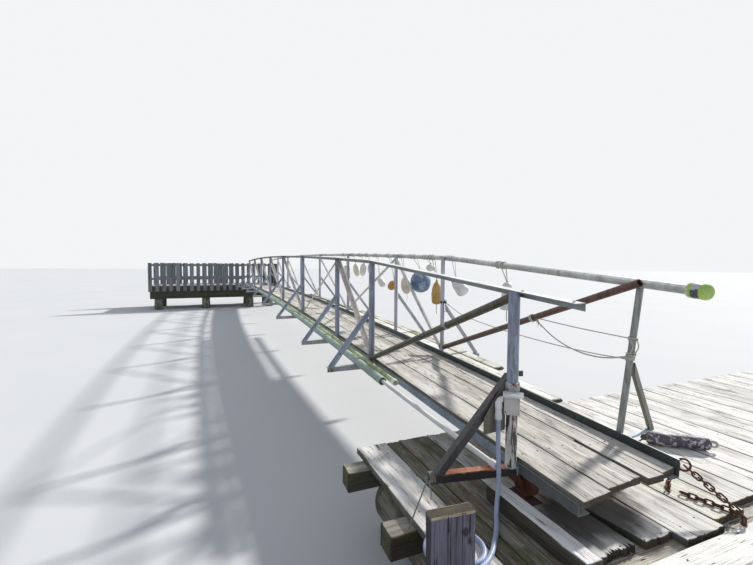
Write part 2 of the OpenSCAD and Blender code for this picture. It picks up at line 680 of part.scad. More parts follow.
// Thick plank that stands on the end of the bearer beside the walkway, turned a little
post_left = 1335;
post_w = 197;
post_t = 63;
post_top = 995;
module mooring_post()
    color([0.36, 0.34, 0.40]) translate([float_near + 52, 1066, under_board]) rotate([0, 0, -9])
        cube([post_t, post_w, post_top - under_board]);
module fender()
    color([0.30, 0.30, 0.38]) from_to([-45, -1430, float_deck + 52], [250, -1050, float_deck + 52])
        rotate([0, 90, 0]) rotate_extrude() polygon([[0, 0], [12, 0], [16, 30], [38, 42], [50, 62],
            [50, 419], [38, 439], [16, 451], [12, 481], [0, 481]]);

// Ropes and the conduit: the points of each route are its rings
tube_ref = [0.55, 0.55, 0.63];
function unit(v) = v / norm(v);
function tangent(p, i) = unit(p[min(i + 1, len(p) - 1)] - p[max(i - 1, 0)]);
function ring(p, i, d, n) = let(t = tangent(p, i), u = unit(cross(t, tube_ref)), v = cross(t, u))
    [for (k = [0:n - 1]) p[i] + d / 2 * (u * cos(360 * k / n) + v * sin(360 * k / n))];
module tube(p, d, n) {
    m = len(p) - 1;
    polyhedron([for (i = [0:m]) each ring(p, i, d, n)], concat([[for (k = [0:n - 1]) k]],
        [[for (k = [n - 1:-1:0]) m * n + k]],
        [for (i = [0:m - 1], k = [0:n - 1]) let(a = i * n + k, b = i * n + (k + 1) % n) each
            [[a, a + n, b + n], [a, b + n, b]]]));
}
// The conduit drops from the elbow and lies in a coil behind the mooring post
conduit_route = [[-5, 557, 1120], [-5, 557, 1060], [-8, 558, 990], [-16, 561, 920], [-27, 566, 850],
    [-37, 573, 780], [-46, 584, 715], [-62, 602, 660], [-93, 630, 624], [-139, 664, 614],
    [-190, 708, 614], [-245, 762, 614], [-300, 819, 614], [-345, 882, 614], [-372, 950, 614],
    [-372, 1022, 614], [-332, 1082, 614], [-271, 1117, 614], [-201, 1122, 614], [-138, 1096, 614],
    [-93, 1046, 614], [-76, 983, 614], [-87, 919, 614], [-125, 868, 614], [-180, 839, 614],
    [-241, 837, 614], [-296, 862, 614], [-330, 907, 614], [-336, 963, 614], [-316, 1014, 614],
    [-272, 1044, 614], [-215, 1048, 614]];
module conduit()
    color([0.55, 0.62, 0.72]) tube(conduit_route, conduit_d, 10);
module conduit_end()
    color([0.75, 0.77, 0.80]) from_to([-215, 1048, 618], [-150, 1048 + 65 * 4 / 57, 618])
        rotate([0, 90, 0]) cylinder(d = 34, h = 62);
// Guard ropes on the right: the lashings round the leaning post, the first diagonal and the second
// post, with the taut rope; the tie of the first outrigger on the left
rope_d = 10;
lash_t = 9;
taut_z = 1515;
slack_z0 = 1385;
knot_x = 810;
knot = [knot_x, diag_top[1], between(knot_x, diag_top[0], diag_foot[0], diag_top[2], diag_foot[2])];
slack_route = [[40, -495, 1376], [110, -495, 1356], [190, -495, 1342], [275, -495, 1337],
    [360, -495, 1341], [440, -495, 1354], [520, -495, 1374], [600, -496, 1402], [680, -496, 1440],
    [745, -496, 1480]];
long_route = [[40, -508, 1368], [180, -508, 1358], [330, -508, 1352], [480, -507, 1350],
    [640, -506, 1351], [800, -505, 1354], [960, -504, 1359], [1120, -502, 1366], [1280, -500, 1375],
    [1440, -498, 1386], [1600, -496, 1400], [1760, -493, 1418], [1910, -490, 1440],
    [2050, -486, 1481], [2140, -480, 1516]];
module lashing(a, b, d)
    difference() {
        solid_rod(a, b, d + 2 * lash_t);
        solid_rod(a + (a - b), b + (b - a), d);
    }
// Short thick end of a rope at its first or last point, from which the free rope goes on
module rope_end(p, i, length)
    solid_rod(p[i] + tangent(p, i) * (i == 0 ? -length : length), p[i], rope_d + 2);
second_z = 1531;
module guard_ropes()
    color([0.80, 0.78, 0.70]) {
        mirror([0, 1, 0]) {
            lashing(lean_at(taut_z - 14), lean_at(taut_z + 14), lean_d);
            lashing(lean_at(1366), lean_at(1436), lean_d);
            solid_rod(lean_at(taut_z) + [26, 0, 0], [knot_x, knot[1] + 34.5, knot[2]], 8);
            lashing(knot - unit(diag_foot - diag_top) * 14, knot + unit(diag_foot - diag_top) * 14, diag_d);
            solid_rod([knot_x - 2, knot[1] + 29, knot[2] - 10], [knot_x - 2, knot[1] + 58, knot[2] - 10], 40);
            translate([long_bay, half_w + post_leg / 2, second_z]) difference() {
                translate([-35, -35, 0]) cube([70, 70, 30]);
                translate([-25, -25, -1]) cube([50, 50, 32]);
            }
        }
        rope_end(slack_route, 0, 52);
        rope_end(slack_route, len(slack_route) - 1, 78);
        rope_end(long_route, 0, 62);
        rope_end(long_route, len(long_route) - 1, 52);
        translate([0, half_w, stub_top(0) - 22]) rotate([0, 0, -first_skew])
            translate([-8, outrigger, 0]) rotate([-90, 0, 0]) cylinder(d = 36, h = 26);
        solid_rod([96, 952, stub_top(0) - 24], [-4, 1126, float_deck + work_gap + 5], 8);
    }
module slack_rope()
    color([0.80, 0.78, 0.70]) tube(slack_route, rope_d, 8);
module long_rope()
    color([0.80, 0.78, 0.70]) tube(long_route, rope_d - 2, 8);

// Pier head: piles, caps, stringers and boards, with picket railings
pile_rows = [pier_face + 190, pier_face + pier_w - 190];
pile_sides = [for (k = [0:3]) -450 + 870 * min(k, 1) + pile_bay * max(0, k - 1)];
pier_right = -750;
pier_left = pile_sides[3] + 350;
stringer_top = pier_deck - plank_t;
cap_top = stringer_top - stringer_h;
pile_top = cap_top - cap_h;
module pier_piles()
    color(pile_grey) for (x = pile_rows) for (y = pile_sides)
        translate([x, y, 0]) cylinder(d1 = pile_d * 1.04, d2 = pile_d * 0.96, h = pile_top);
module pier_caps()
    color(weathered) for (x = pile_rows)
        translate([x - 145, pier_right + 40, pile_top]) cube([290, pier_left - pier_right - 80, cap_h]);
module pier_stringers()
    color(weathered) {
        for (x = [pier_face, pier_face + pier_w - 90]) translate([x, pier_right, cap_top])
            cube([90, pier_left - pier_right, stringer_h]);
        for (y = concat([pier_right + 45, pier_left - 45], pile_sides))
            translate([pier_face + 90, y - 45, cap_top]) cube([pier_w - 180, 90, stringer_h]);
    }
module pier_boards()
    color(weathered) {
        n = floor((pier_left - pier_right) / 190);
        pitch = (pier_left - pier_right + seam) / n;
        for (i = [0:n - 1]) translate([pier_face, pier_right + i * pitch, stringer_top])
            cube([pier_w, pitch - seam, plank_t]);
    }
// Picket railing along +X from the origin, its pickets on the side facing -Y
module railing(length) {
    n = floor((length + picket_gap) / (picket_w + picket_gap));
    pitch = (length - picket_w) / (n - 1);
    for (i = [0:n - 1]) translate([i * pitch, -25, -picket_drop])
        cube([picket_w, 25, picket_drop + picket_rise]);
    for (z = [picket_rise - 140, 250]) translate([0, 0, z]) cube([length, 40, 90]);
    for (k = [0:2]) translate([k * (length - 90) / 2, 40, 0]) cube([90, 90, picket_rise - 40]);
}
front_start = 640;
module front_railing()
    color(picket_grey) translate([pier_face, pier_left, pier_deck]) rotate([0, 0, -90])
        railing(pier_left - front_start);
module back_railing()
    color(picket_grey) translate([pier_face + pier_w, pier_right, pier_deck]) rotate([0, 0, 90])
        railing(pier_left - pier_right);
module end_railing()
    color(picket_grey) translate([pier_face, pier_right, pier_deck]) railing(pier_w - 200);

left_chord();
right_chord();
left_posts();
right_posts();
left_rail();
right_rail();
left_diagonals();
right_diagonals();
transoms();
left_braces();
right_braces();
gangway_boards();
roller_bracket();
toe_roller();
hinge_lugs();
hinge_pins();
hinge_brackets();
switch_box();
rail_pad();
side_pipes();
side_planks();
hung_floats();
chain_ring();
float_boards();
walkway_planks();
float_bearers();
float_logs();
curb();
mooring_post();
mooring_chain();
fender();
pier_piles();
pier_caps();
pier_stringers();
pier_boards();
front_railing();
back_railing();
end_railing();
guard_ropes();
slack_rope();
long_rope();
conduit();
conduit_end();
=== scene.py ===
"""Looks of the jetty: float, cambered gangway and pier head. Metres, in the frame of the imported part."""

import math
import random

import bmesh
import bpy
from mathutils import Matrix, Vector, noise


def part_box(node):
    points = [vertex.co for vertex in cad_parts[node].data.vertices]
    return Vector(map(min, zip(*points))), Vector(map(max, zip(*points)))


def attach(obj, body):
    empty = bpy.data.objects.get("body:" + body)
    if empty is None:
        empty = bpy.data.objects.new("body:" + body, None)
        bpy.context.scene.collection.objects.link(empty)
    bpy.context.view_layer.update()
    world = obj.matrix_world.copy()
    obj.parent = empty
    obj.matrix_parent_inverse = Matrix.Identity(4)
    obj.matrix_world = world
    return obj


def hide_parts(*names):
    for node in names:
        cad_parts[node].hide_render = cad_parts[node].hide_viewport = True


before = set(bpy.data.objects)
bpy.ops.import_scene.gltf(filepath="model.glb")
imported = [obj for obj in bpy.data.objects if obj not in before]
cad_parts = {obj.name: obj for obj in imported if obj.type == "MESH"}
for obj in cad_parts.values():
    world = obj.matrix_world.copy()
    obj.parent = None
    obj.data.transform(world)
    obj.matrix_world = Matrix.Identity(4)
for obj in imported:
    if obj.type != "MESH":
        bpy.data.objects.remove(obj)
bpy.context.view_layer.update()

AHEAD, LEFT, UP = Vector((1, 0, 0)), Vector((0, 1, 0)), Vector((0, 0, 1))


def xyz(x, y, z):
    return Vector((x, y, z))


def link(name, data):
    """New object of that name in the scene."""
    obj = bpy.data.objects.new(name, data)
    bpy.context.scene.collection.objects.link(obj)
    return obj


# ---------------------------------------------------------------- camera

CAMERA_PLACE = xyz(-1.831, 2.064, 2.003)
YAW, PITCH, ROLL = (math.radians(a) for a in (22.38, 2.80, 0.334))
FOCAL_PIXELS, PHOTO_WIDTH = 404.55, 753
SENSOR_WIDTH = 36


def make_camera():
    ahead = xyz(math.cos(YAW), -math.sin(YAW), 0)
    right = xyz(-math.sin(YAW), -math.cos(YAW), 0)
    look = ahead * math.cos(PITCH) - UP * math.sin(PITCH)
    top = UP * math.cos(PITCH) + ahead * math.sin(PITCH)
    x_axis = right * math.cos(ROLL) + top * math.sin(ROLL)
    y_axis = top * math.cos(ROLL) - right * math.sin(ROLL)
    data = bpy.data.cameras.new("camera")
    data.sensor_width = SENSOR_WIDTH
    data.lens = FOCAL_PIXELS / PHOTO_WIDTH * SENSOR_WIDTH
    data.clip_end = 500
    camera = link("camera", data)
    turn = Matrix((x_axis, y_axis, -look)).transposed().to_4x4()
    turn.translation = CAMERA_PLACE
    camera.matrix_world = turn
    bpy.context.scene.camera = camera


make_camera()

# ---------------------------------------------------------------- the gangway's lines, as in the CAD

STATIONS = [0, 2.22] + [3.503 + 2.22 * k for k in range(7)]
CHORD_TOP, CAMBER_RISE, CAMBER_CROWN = 0.900, 0.223, 10.070
CAMBER_R = (CAMBER_CROWN ** 2 + CAMBER_RISE ** 2) / (2 * CAMBER_RISE)
RAIL_H, RAIL_DIP, RAIL_UP = 1.037, 0.090, 0.037
HALF_W, RAIL_Y = 0.425, 0.507
PIPE_R, POST_LEG = 0.028, 0.050
POST_Y = HALF_W + 0.0325
GANGWAY_END = STATIONS[-1] + 0.110
OUTRIGGER_DROP = 0.075
FLOAT_DECK, PLANK_T = 0.600, 0.045


def camber(x):
    return CHORD_TOP + CAMBER_RISE - CAMBER_R + math.sqrt(CAMBER_R ** 2 - (x - CAMBER_CROWN) ** 2)


def on_line(x, heights):
    """Height at x of straight pieces from station to station."""
    i = max(0, min(len(STATIONS) - 2, sum(s <= x for s in STATIONS) - 1))
    share = (x - STATIONS[i]) / (STATIONS[i + 1] - STATIONS[i])
    return heights[i] + (heights[i + 1] - heights[i]) * share


CHORD_LINE = [camber(x) for x in STATIONS]
RAIL_LINE = [z + RAIL_H - (RAIL_DIP if i == 0 else 0) for i, z in enumerate(CHORD_LINE)]


def chord_z(x):
    return on_line(x, CHORD_LINE)


def rail_z(x):
    return on_line(x, RAIL_LINE)


def rail_axis(x):
    """Point on the axis of the right handrail."""
    return xyz(x, -RAIL_Y, rail_z(x) + RAIL_UP)


def stub_top(i):
    """Top of the outriggers at a station."""
    return min(chord_z(STATIONS[i] + s * POST_LEG / 2) for s in (-1, 0, 1)) - OUTRIGGER_DROP


LEAN_FOOT = xyz(0.006, -HALF_W - 0.028, stub_top(0) + 0.002)
LEAN_TOP = rail_axis(-0.068)
LEAN_R = 0.021


def lean_at(z):
    """Point on the axis of the leaning first post at that height."""
    return LEAN_FOOT.lerp(LEAN_TOP, (z - LEAN_FOOT.z) / (LEAN_TOP.z - LEAN_FOOT.z))


# ---------------------------------------------------------------- building meshes


class Shape:
    """Vertices, faces and their numbers, gathered for one mesh."""

    def __init__(self):
        self.verts, self.faces, self.kinds = [], [], []
        self.numbers = {"edge": [], "board": [], "tone": [], "growth": []}

    def add(self, verts, faces, kind=0, edge=None, board=0.0, tone=0.0, growth=0.0):
        start, count = len(self.verts), len(verts)
        self.verts.extend(verts)
        self.faces.extend(tuple(start + i for i in face) for face in faces)
        self.kinds.extend([kind] * len(faces))
        self.numbers["edge"].extend(edge if edge else [0.0] * count)
        for key, value in (("board", board), ("tone", tone), ("growth", growth)):
            self.numbers[key].extend([value] * count)

    def recolour(self, kind, fits):
        """Gives the faces whose corners' heights fit another material."""
        for k, face in enumerate(self.faces):
            if fits([self.verts[i].z for i in face]):
                self.kinds[k] = kind

    def done(self, name, body, keys, replaces=(), slot=None, sharp=42):
        """The mesh as a piece that rides a body; edges sharper than so many degrees stay sharp."""
        mesh = bpy.data.meshes.new(name)
        mesh.from_pydata(self.verts, [], self.faces)
        for key in keys:
            mesh.materials.append(MATERIALS[key])
        mesh.polygons.foreach_set("material_index", self.kinds)
        for key, values in self.numbers.items():
            mesh.attributes.new(key, "FLOAT", "POINT").data.foreach_set("value", values)
        bm = bmesh.new()
        bm.from_mesh(mesh)
        bmesh.ops.recalc_face_normals(bm, faces=bm.faces)
        bm.to_mesh(mesh)
        bm.free()
        mesh.shade_smooth()
        mesh.set_sharp_from_angle(angle=math.radians(sharp))
        obj = link(name, mesh)
        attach(obj, body)
        if replaces:
            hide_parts(*replaces)
        return obj


def smooth_line(points, step):
    """Catmull-Rom curve through the points, as points about step apart."""
    out = []
    last = len(points) - 1
    for i in range(last):
        a, b = points[i], points[i + 1]
        before = points[i - 1] if i else a - (b - a)
        after = points[i + 2] if i + 2 <= last else b + (b - a)
        pieces = max(1, round((b - a).length / step))
        for k in range(pieces):
            t = k / pieces
            out.append(0.5 * (2 * a + (b - before) * t + (2 * before - 5 * a + 4 * b - after) * t * t
                              + (3 * a - before - 3 * b + after) * t ** 3))
    out.append(points[-1].copy())
    return out


def tube_faces(rows, sides, capped=True):
    """Faces of a tube of that many rows, with its two flat ends when capped."""
    faces = [(i * sides + k, i * sides + (k + 1) % sides, (i + 1) * sides + (k + 1) % sides, (i + 1) * sides + k)
             for i in range(rows) for k in range(sides)]
    if capped:
        faces += [tuple(range(sides)), tuple(range(rows * sides, (rows + 1) * sides))]
    return faces


def sweep(shape, line, radius, sides=12, kind=0):
    """Closed tube along the line; radius(s, angle) is the section at that length along it."""
    verts = []
    side, run = None, 0.0
    last = len(line) - 1
    for i, p in enumerate(line):
        t = (line[min(i + 1, last)] - line[max(i - 1, 0)]).normalized()
        if side is None:
            side = t.cross(xyz(0.55, 0.55, 0.63)).normalized()
        side = (side - t * side.dot(t)).normalized()
        up = t.cross(side)
        if i:
            run += (p - line[i - 1]).length
        for k in range(sides):
            a = math.tau * k / sides
            r = radius(run, a)
            verts.append(p + side * (r * math.cos(a)) + up * (r * math.sin(a)))
    shape.add(verts, tube_faces(last, sides), kind)


def rope(shape, points, d, kind=0, step=None):
    """Laid rope of three strands along the points."""
    line = smooth_line(points, step or d * 0.32)
    turn = math.tau / (3.4 * d)
    sweep(shape, line, lambda s, a: d / 2 * (0.84 + 0.2 * abs(math.cos(1.5 * (a - turn * s)))), 12, kind)
    return line


def coil(shape, middle, axis, across, r, d, turns, length, kind=0, square=0.0):
    """Rope wound round an axis; across is the direction that it starts in, square rounds it towards a square."""
    axis = axis.normalized()
    side = (across - axis * across.dot(axis)).normalized()
    up = axis.cross(side)
    count = max(12, round(turns * 20))
    points = []
    for i in range(count + 1):
        a = math.tau * turns * i / count
        reach = r * (1 + square * (1 - abs(math.cos(2 * a))) * 0.41)
        wobble = 0.12 * d * noise.noise(xyz(a * 1.3, r * 50, 2.0))
        points.append(middle + axis * (length * (i / count - 0.5) + wobble)
                      + side * (reach * math.cos(a)) + up * (reach * math.sin(a)))
    rope(shape, points, d, kind, step=d * 0.6)


def revolve(shape, start, axis, profile, sides=24, kind=0, lumps=0.0, seed=0, closed=False):
    """Turns the profile, points (along, radius), about the axis. A radius of 0 closes it, closed makes it a ring."""
    axis = axis.normalized()
    side = axis.orthogonal().normalized()
    up = axis.cross(side)
    verts, rings = [], []
    for along, r in profile:
        if r <= 0:
            rings.append([len(verts)])
            verts.append(start + axis * along)
            continue
        rings.append(range(len(verts), len(verts) + sides))
        for k in range(sides):
            a = math.tau * k / sides
            way = side * math.cos(a) + up * math.sin(a)
            reach = r
            if lumps:
                reach += lumps * noise.noise((way * r + axis * along) * 9 + xyz(seed * 5.3, 0, seed))
            verts.append(start + axis * along + way * reach)
    pairs = list(zip(rings, rings[1:])) + ([(rings[-1], rings[0])] if closed else [])
    faces = []
    for a, b in pairs:
        for k in range(sides):
            j = (k + 1) % sides
            if len(a) == 1:
                faces.append((a[0], b[k], b[j]))
            elif len(b) == 1:
                faces.append((a[k], a[j], b[0]))
            else:
                faces.append((a[k], a[j], b[j], b[k]))
    shape.add(verts, faces, kind)


def cuff(shape, start, axis, inner, outer, length, sides=28, kind=0):
    """Plain band round an axis."""
    revolve(shape, start, axis, [(0, inner), (0, outer), (length, outer), (length, inner)], sides, kind, closed=True)


def ring(shape, middle, axis, r, wire, kind=0, sides=28, across=8):
    """Round ring of round wire."""
    turns = [math.tau * k / across for k in range(across)]
    profile = [(wire * math.sin(a), r + wire * math.cos(a)) for a in turns]
    revolve(shape, middle, axis, profile, sides, kind, closed=True)


def rounded(length, r, edge):
    """Profile of a cylinder with round edges, closed at both ends."""
    turns = [math.pi / 2 * k / 3 for k in range(4)]
    start = [(edge * (1 - math.cos(a)), r - edge * (1 - math.sin(a))) for a in turns]
    return [(0, 0)] + start + [(length - along, reach) for along, reach in reversed(start)] + [(length, 0)]


def bolt(shape, place, out, size=0.012, kind=0):
    """Hex head on a washer, standing out from place."""
    out = out.normalized()
    washer, head = size * 1.15, size * 0.80
    revolve(shape, place - out * 0.001, out, [(0, 0), (0, washer), (0.0028, size * 1.1), (0.0028, 0)], 14, kind)
    revolve(shape, place + out * 0.0016, out, [(0, 0), (0, head), (size * 0.5, head), (size * 0.66, size * 0.66),
                                               (size * 0.66, 0)], 6, kind)


def box_frame(axis, corner):
    """place(s, u, v) for a timber along an axis from a corner: length, width and height in metres."""
    length, across, up = {"X": (AHEAD, LEFT, UP), "Y": (LEFT, AHEAD, UP)}[axis]
    corner = Vector(corner)
    return lambda s, u, v: corner + length * s + across * u + up * v


def timber(shape, place, s0, s1, width, thick, seed, kind=0, step=0.1, columns=4, chamfer=0.004, wear=1.0,
           ragged=0.003, tone=0.0, growth=0.0, stops=(), splits=(), skew=0.0):
    """Weathered board or beam. place(s, u, v) is the point at that length, width and height. step is the spacing of
    its rings, a number or a function of the length. splits are (part of the width, end 0 or 1, length, depth) of the
    checks that run in from an end. skew slants both ends."""
    spacing = step if callable(step) else lambda s: step
    # across: place, how much of an edge it is, and whether it is the outermost
    us = [(0.0, 1.0, 1), (chamfer, 0.5, 0), (width - chamfer, 0.5, 0), (width, 1.0, 1)]
    us += [(width * k / columns, 0.0, 0) for k in range(1, columns)]
    if columns > 2:
        rim = min(0.014, width * 0.2)
        us += [(rim, 0.0, 0), (width - rim, 0.0, 0)]
    us += [(width * part + off, 0.0, 0) for part, *_ in splits for off in (-0.0022, 0.0, 0.0022)]
    us = sorted(set(us))
    grooves = {round(width * part, 6): split for part, *split in splits}

    # lengthwise: place, and whether it is an end
    margin = max(0.02, ragged * 2)
    inner0, inner1 = s0 + margin, s1 - margin
    marks, s = [], inner0
    while s < inner1:
        marks.append(s)
        s += spacing(s)
    marks = [m for m in marks if m < inner1 - spacing(s0) * 0.3] + [inner1] + [q for q in stops if inner0 < q < inner1]
    ss = [(s0, 1), (s0 + chamfer, 0)] + [(m, 0) for m in sorted(set(marks))] + [(s1 - chamfer, 0), (s1, 1)]
    n, rows = len(us), len(ss)
    rng = random.Random(seed * 31 + 7)
    splinters = [[rng.random() ** 3 * 0.9 for _ in us] for _ in range(2)]

    def wave(a, b, c):
        return noise.noise(xyz(a + seed * 3.71, b + seed * 1.37, c))

    top, bottom, edges = [], [], []
    for i, (s, at_end) in enumerate(ss):
        near, by_end = i < 2, i < 2 or i > rows - 3
        for j, (u, edge, outer) in enumerate(us):
            edges.append(2.0 if at_end else edge)
            first_half = u < width / 2
            height = wear * (0.0014 * wave(s * 4.5, u * 30, 1.0) - 0.0010)
            lip = chamfer if outer or at_end else 0.0
            if outer:
                lip += wear * 0.004 * max(0.0, wave(s * 11, u * 3, 4.0) - 0.12) * 2
            cut = 0.0
            if round(u, 6) in grooves:
                end, length, depth = grooves[round(u, 6)]
                cut = depth * max(0.0, 1 - (s1 - s if end else s - s0) / length) ** 0.6
            side = wear * 0.0016 * wave(s * 3.2, 5.0 if first_half else 9.0, 2.0) if outer or edge else 0.0
            u_now = u - side if first_half else u + side
            bite = splinter = 0.0
            if by_end:
                bite = ragged * (0.45 + 0.55 * wave(u * 9, 3.0 if near else 8.0, 0.6)) + skew * u * (1 if near else -1)
                splinter = ragged * splinters[near][j]
            for sheet, v, share in ((top, thick - lip + height - cut, 1), (bottom, lip - height * 0.5, 0.6)):
                lost = max(0.0, bite + splinter * share)
                sheet.append(place(s + lost if near else s - lost, u_now, v))
    low = rows * n
    faces = []
    for i in range(rows - 1):
        for j in range(n - 1):
            a = i * n + j
            faces.append((a, a + n, a + n + 1, a + 1))
            faces.append((low + a, low + a + 1, low + a + n + 1, low + a + n))
        a, b = i * n, i * n + n - 1
        faces.append((a, low + a, low + a + n, a + n))
        faces.append((b, b + n, low + b + n, low + b))
    for j in range(n - 1):
        a, b = j, (rows - 1) * n + j
        faces.append((a, a + 1, low + a + 1, low + a))
        faces.append((b, low + b, low + b + 1, b + 1))
    shape.add(top + bottom, faces, kind, edges * 2, board=seed * 1.0, tone=tone, growth=growth)


def block(shape, corner, along_x, along_y, along_z, r, kind=0):
    """Rounded block from a corner, with its three edge vectors; r rounds all edges."""
    size = [v.length for v in (along_x, along_y, along_z)]
    ways = [v.normalized() for v in (along_x, along_y, along_z)]
    steps = [math.pi / 2 * k / 3 for k in range(4)]
    levels = [(r * (1 - math.sin(a)), r * (1 - math.cos(a))) for a in steps]
    levels += [(inset, size[2] - z) for inset, z in reversed(levels)]
    verts = []
    for inset, z in levels:
        for cx, cy, first in ((1, 1, 0), (0, 1, 1), (0, 0, 2), (1, 0, 3)):
            middle_x = size[0] - r if cx else r
            middle_y = size[1] - r if cy else r
            for a in steps:
                angle = a + first * math.pi / 2
                reach = r - inset
                verts.append(corner + ways[0] * (middle_x + reach * math.cos(angle))
                             + ways[1] * (middle_y + reach * math.sin(angle)) + ways[2] * z)
    shape.add(verts, tube_faces(len(levels) - 1, 16), kind)


WELD_R = 0.004


def weld(shape, a, b):
    """Weld bead: a lumpy thread of metal between two points."""
    count = max(3, round((b - a).length / 0.005))
    line = [a.lerp(b, k / count) for k in range(count + 1)]
    sweep(shape, line, lambda s, a: WELD_R * (0.8 + 0.35 * math.sin(s * 900)), 6)


# ---------------------------------------------------------------- materials


class Paint:
    """A node material on one Principled shader, with short names for the nodes it needs."""

    def __init__(self, name, roughness=0.7, metallic=0.0):
        self.mat = bpy.data.materials.new(name)
        self.mat.use_nodes = True
        self.tree = self.mat.node_tree
        self.shader = self.tree.nodes["Principled BSDF"]
        self.shader.inputs["Roughness"].default_value = roughness
        self.shader.inputs["Metallic"].default_value = metallic
        self.place = self.add("TexCoord").outputs["Object"]

    def add(self, kind, **props):
        node = self.tree.nodes.new("ShaderNode" + kind)
        for key, value in props.items():
            setattr(node, key, value)
        return node

    def put(self, socket, value):
        if isinstance(value, bpy.types.NodeSocket):
            self.tree.links.new(value, socket)
        else:
            socket.default_value = value

    def math(self, operation, a, b=0.5, clamp=False):
        node = self.add("Math", operation=operation, use_clamp=clamp)
        self.put(node.inputs[0], a)
        self.put(node.inputs[1], b)
        return node.outputs[0]

    def plus(self, a, b, clamp=False):
        return self.math("ADD", a, b, clamp)

    def times(self, a, b, clamp=False):
        return self.math("MULTIPLY", a, b, clamp)

    def blend(self, a, b, share):
        """share of a and the rest of b."""
        return self.plus(self.times(a, share), self.times(b, 1 - share))

    def stretch(self, scale, spot=None):
        node = self.add("VectorMath", operation="MULTIPLY")
        self.put(node.inputs[0], spot or self.place)
        self.put(node.inputs[1], scale)
        return node.outputs[0]

    def shifted(self, number, by=(7.3, 11.9, 5.1)):
        scaled = self.add("VectorMath", operation="SCALE")
        self.put(scaled.inputs[0], by)
        self.put(scaled.inputs["Scale"], number)
        total = self.add("VectorMath", operation="ADD")
        self.put(total.inputs[0], self.place)
        self.put(total.inputs[1], scaled.outputs[0])
        return total.outputs[0]

    def noise(self, spot, scale=1.0, detail=4.0, roughness=0.55, distortion=0.0):
        node = self.add("TexNoise")
        self.put(node.inputs["Vector"], spot)
        for key, value in (("Scale", scale), ("Detail", detail), ("Roughness", roughness), ("Distortion", distortion)):
            node.inputs[key].default_value = value
        return node.outputs["Fac"]

    def cells(self, spot, scale=1.0):
        node = self.add("TexVoronoi")
        self.put(node.inputs["Vector"], spot)
        node.inputs["Scale"].default_value = scale
        return node.outputs["Distance"]

    def number(self, name):
        return self.add("Attribute", attribute_name=name).outputs["Fac"]

    def axis(self, which, of="Object"):
        """X, Y or Z of the place, or of the way that the surface faces with Normal."""
        split = self.add("SeparateXYZ")
        self.put(split.inputs[0], self.add("TexCoord").outputs[of])
        return split.outputs[which]

    def ramp(self, value, *stops):
        node = self.add("ValToRGB")
        band = node.color_ramp
        while len(band.elements) < len(stops):
            band.elements.new(0.5)
        for element, (at, colour) in zip(band.elements, stops):
            element.position = at
            element.color = (*colour, 1) if isinstance(colour, tuple) else (colour, colour, colour, 1)
        self.put(node.inputs[0], value)
        return node.outputs[0]

    def mask(self, value, low, high):
        """0 below low and 1 above high, smooth between them; high may be the lower one."""
        node = self.add("MapRange", interpolation_type="SMOOTHSTEP")
        self.put(node.inputs["Value"], value)
        node.inputs["From Min"].default_value = min(low, high)
        node.inputs["From Max"].default_value = max(low, high)
        if low > high:
            node.inputs["To Min"].default_value = 1
            node.inputs["To Max"].default_value = 0
        return node.outputs[0]

    def mix(self, share, a, b, blend="MIX"):
        node = self.add("Mix", data_type="RGBA", blend_type=blend)
        self.put(node.inputs[0], share)
        for socket, value in ((node.inputs[6], a), (node.inputs[7], b)):
            self.put(socket, (*value, 1) if isinstance(value, tuple) else value)
        return node.outputs[2]

    def finish(self, colour, height=None, strength=0.5, depth=0.002, **inputs):
        for name, value in (("Base Color", colour), *inputs.items()):
            self.put(self.shader.inputs[name], value)
        if height is not None:
            bump = self.add("Bump")
            bump.inputs["Strength"].default_value = strength
            bump.inputs["Distance"].default_value = depth
            self.put(bump.inputs["Height"], height)
            self.put(self.shader.inputs["Normal"], bump.outputs[0])
        return self.mat


def shade(colour, share):
    return tuple(c * share for c in colour)


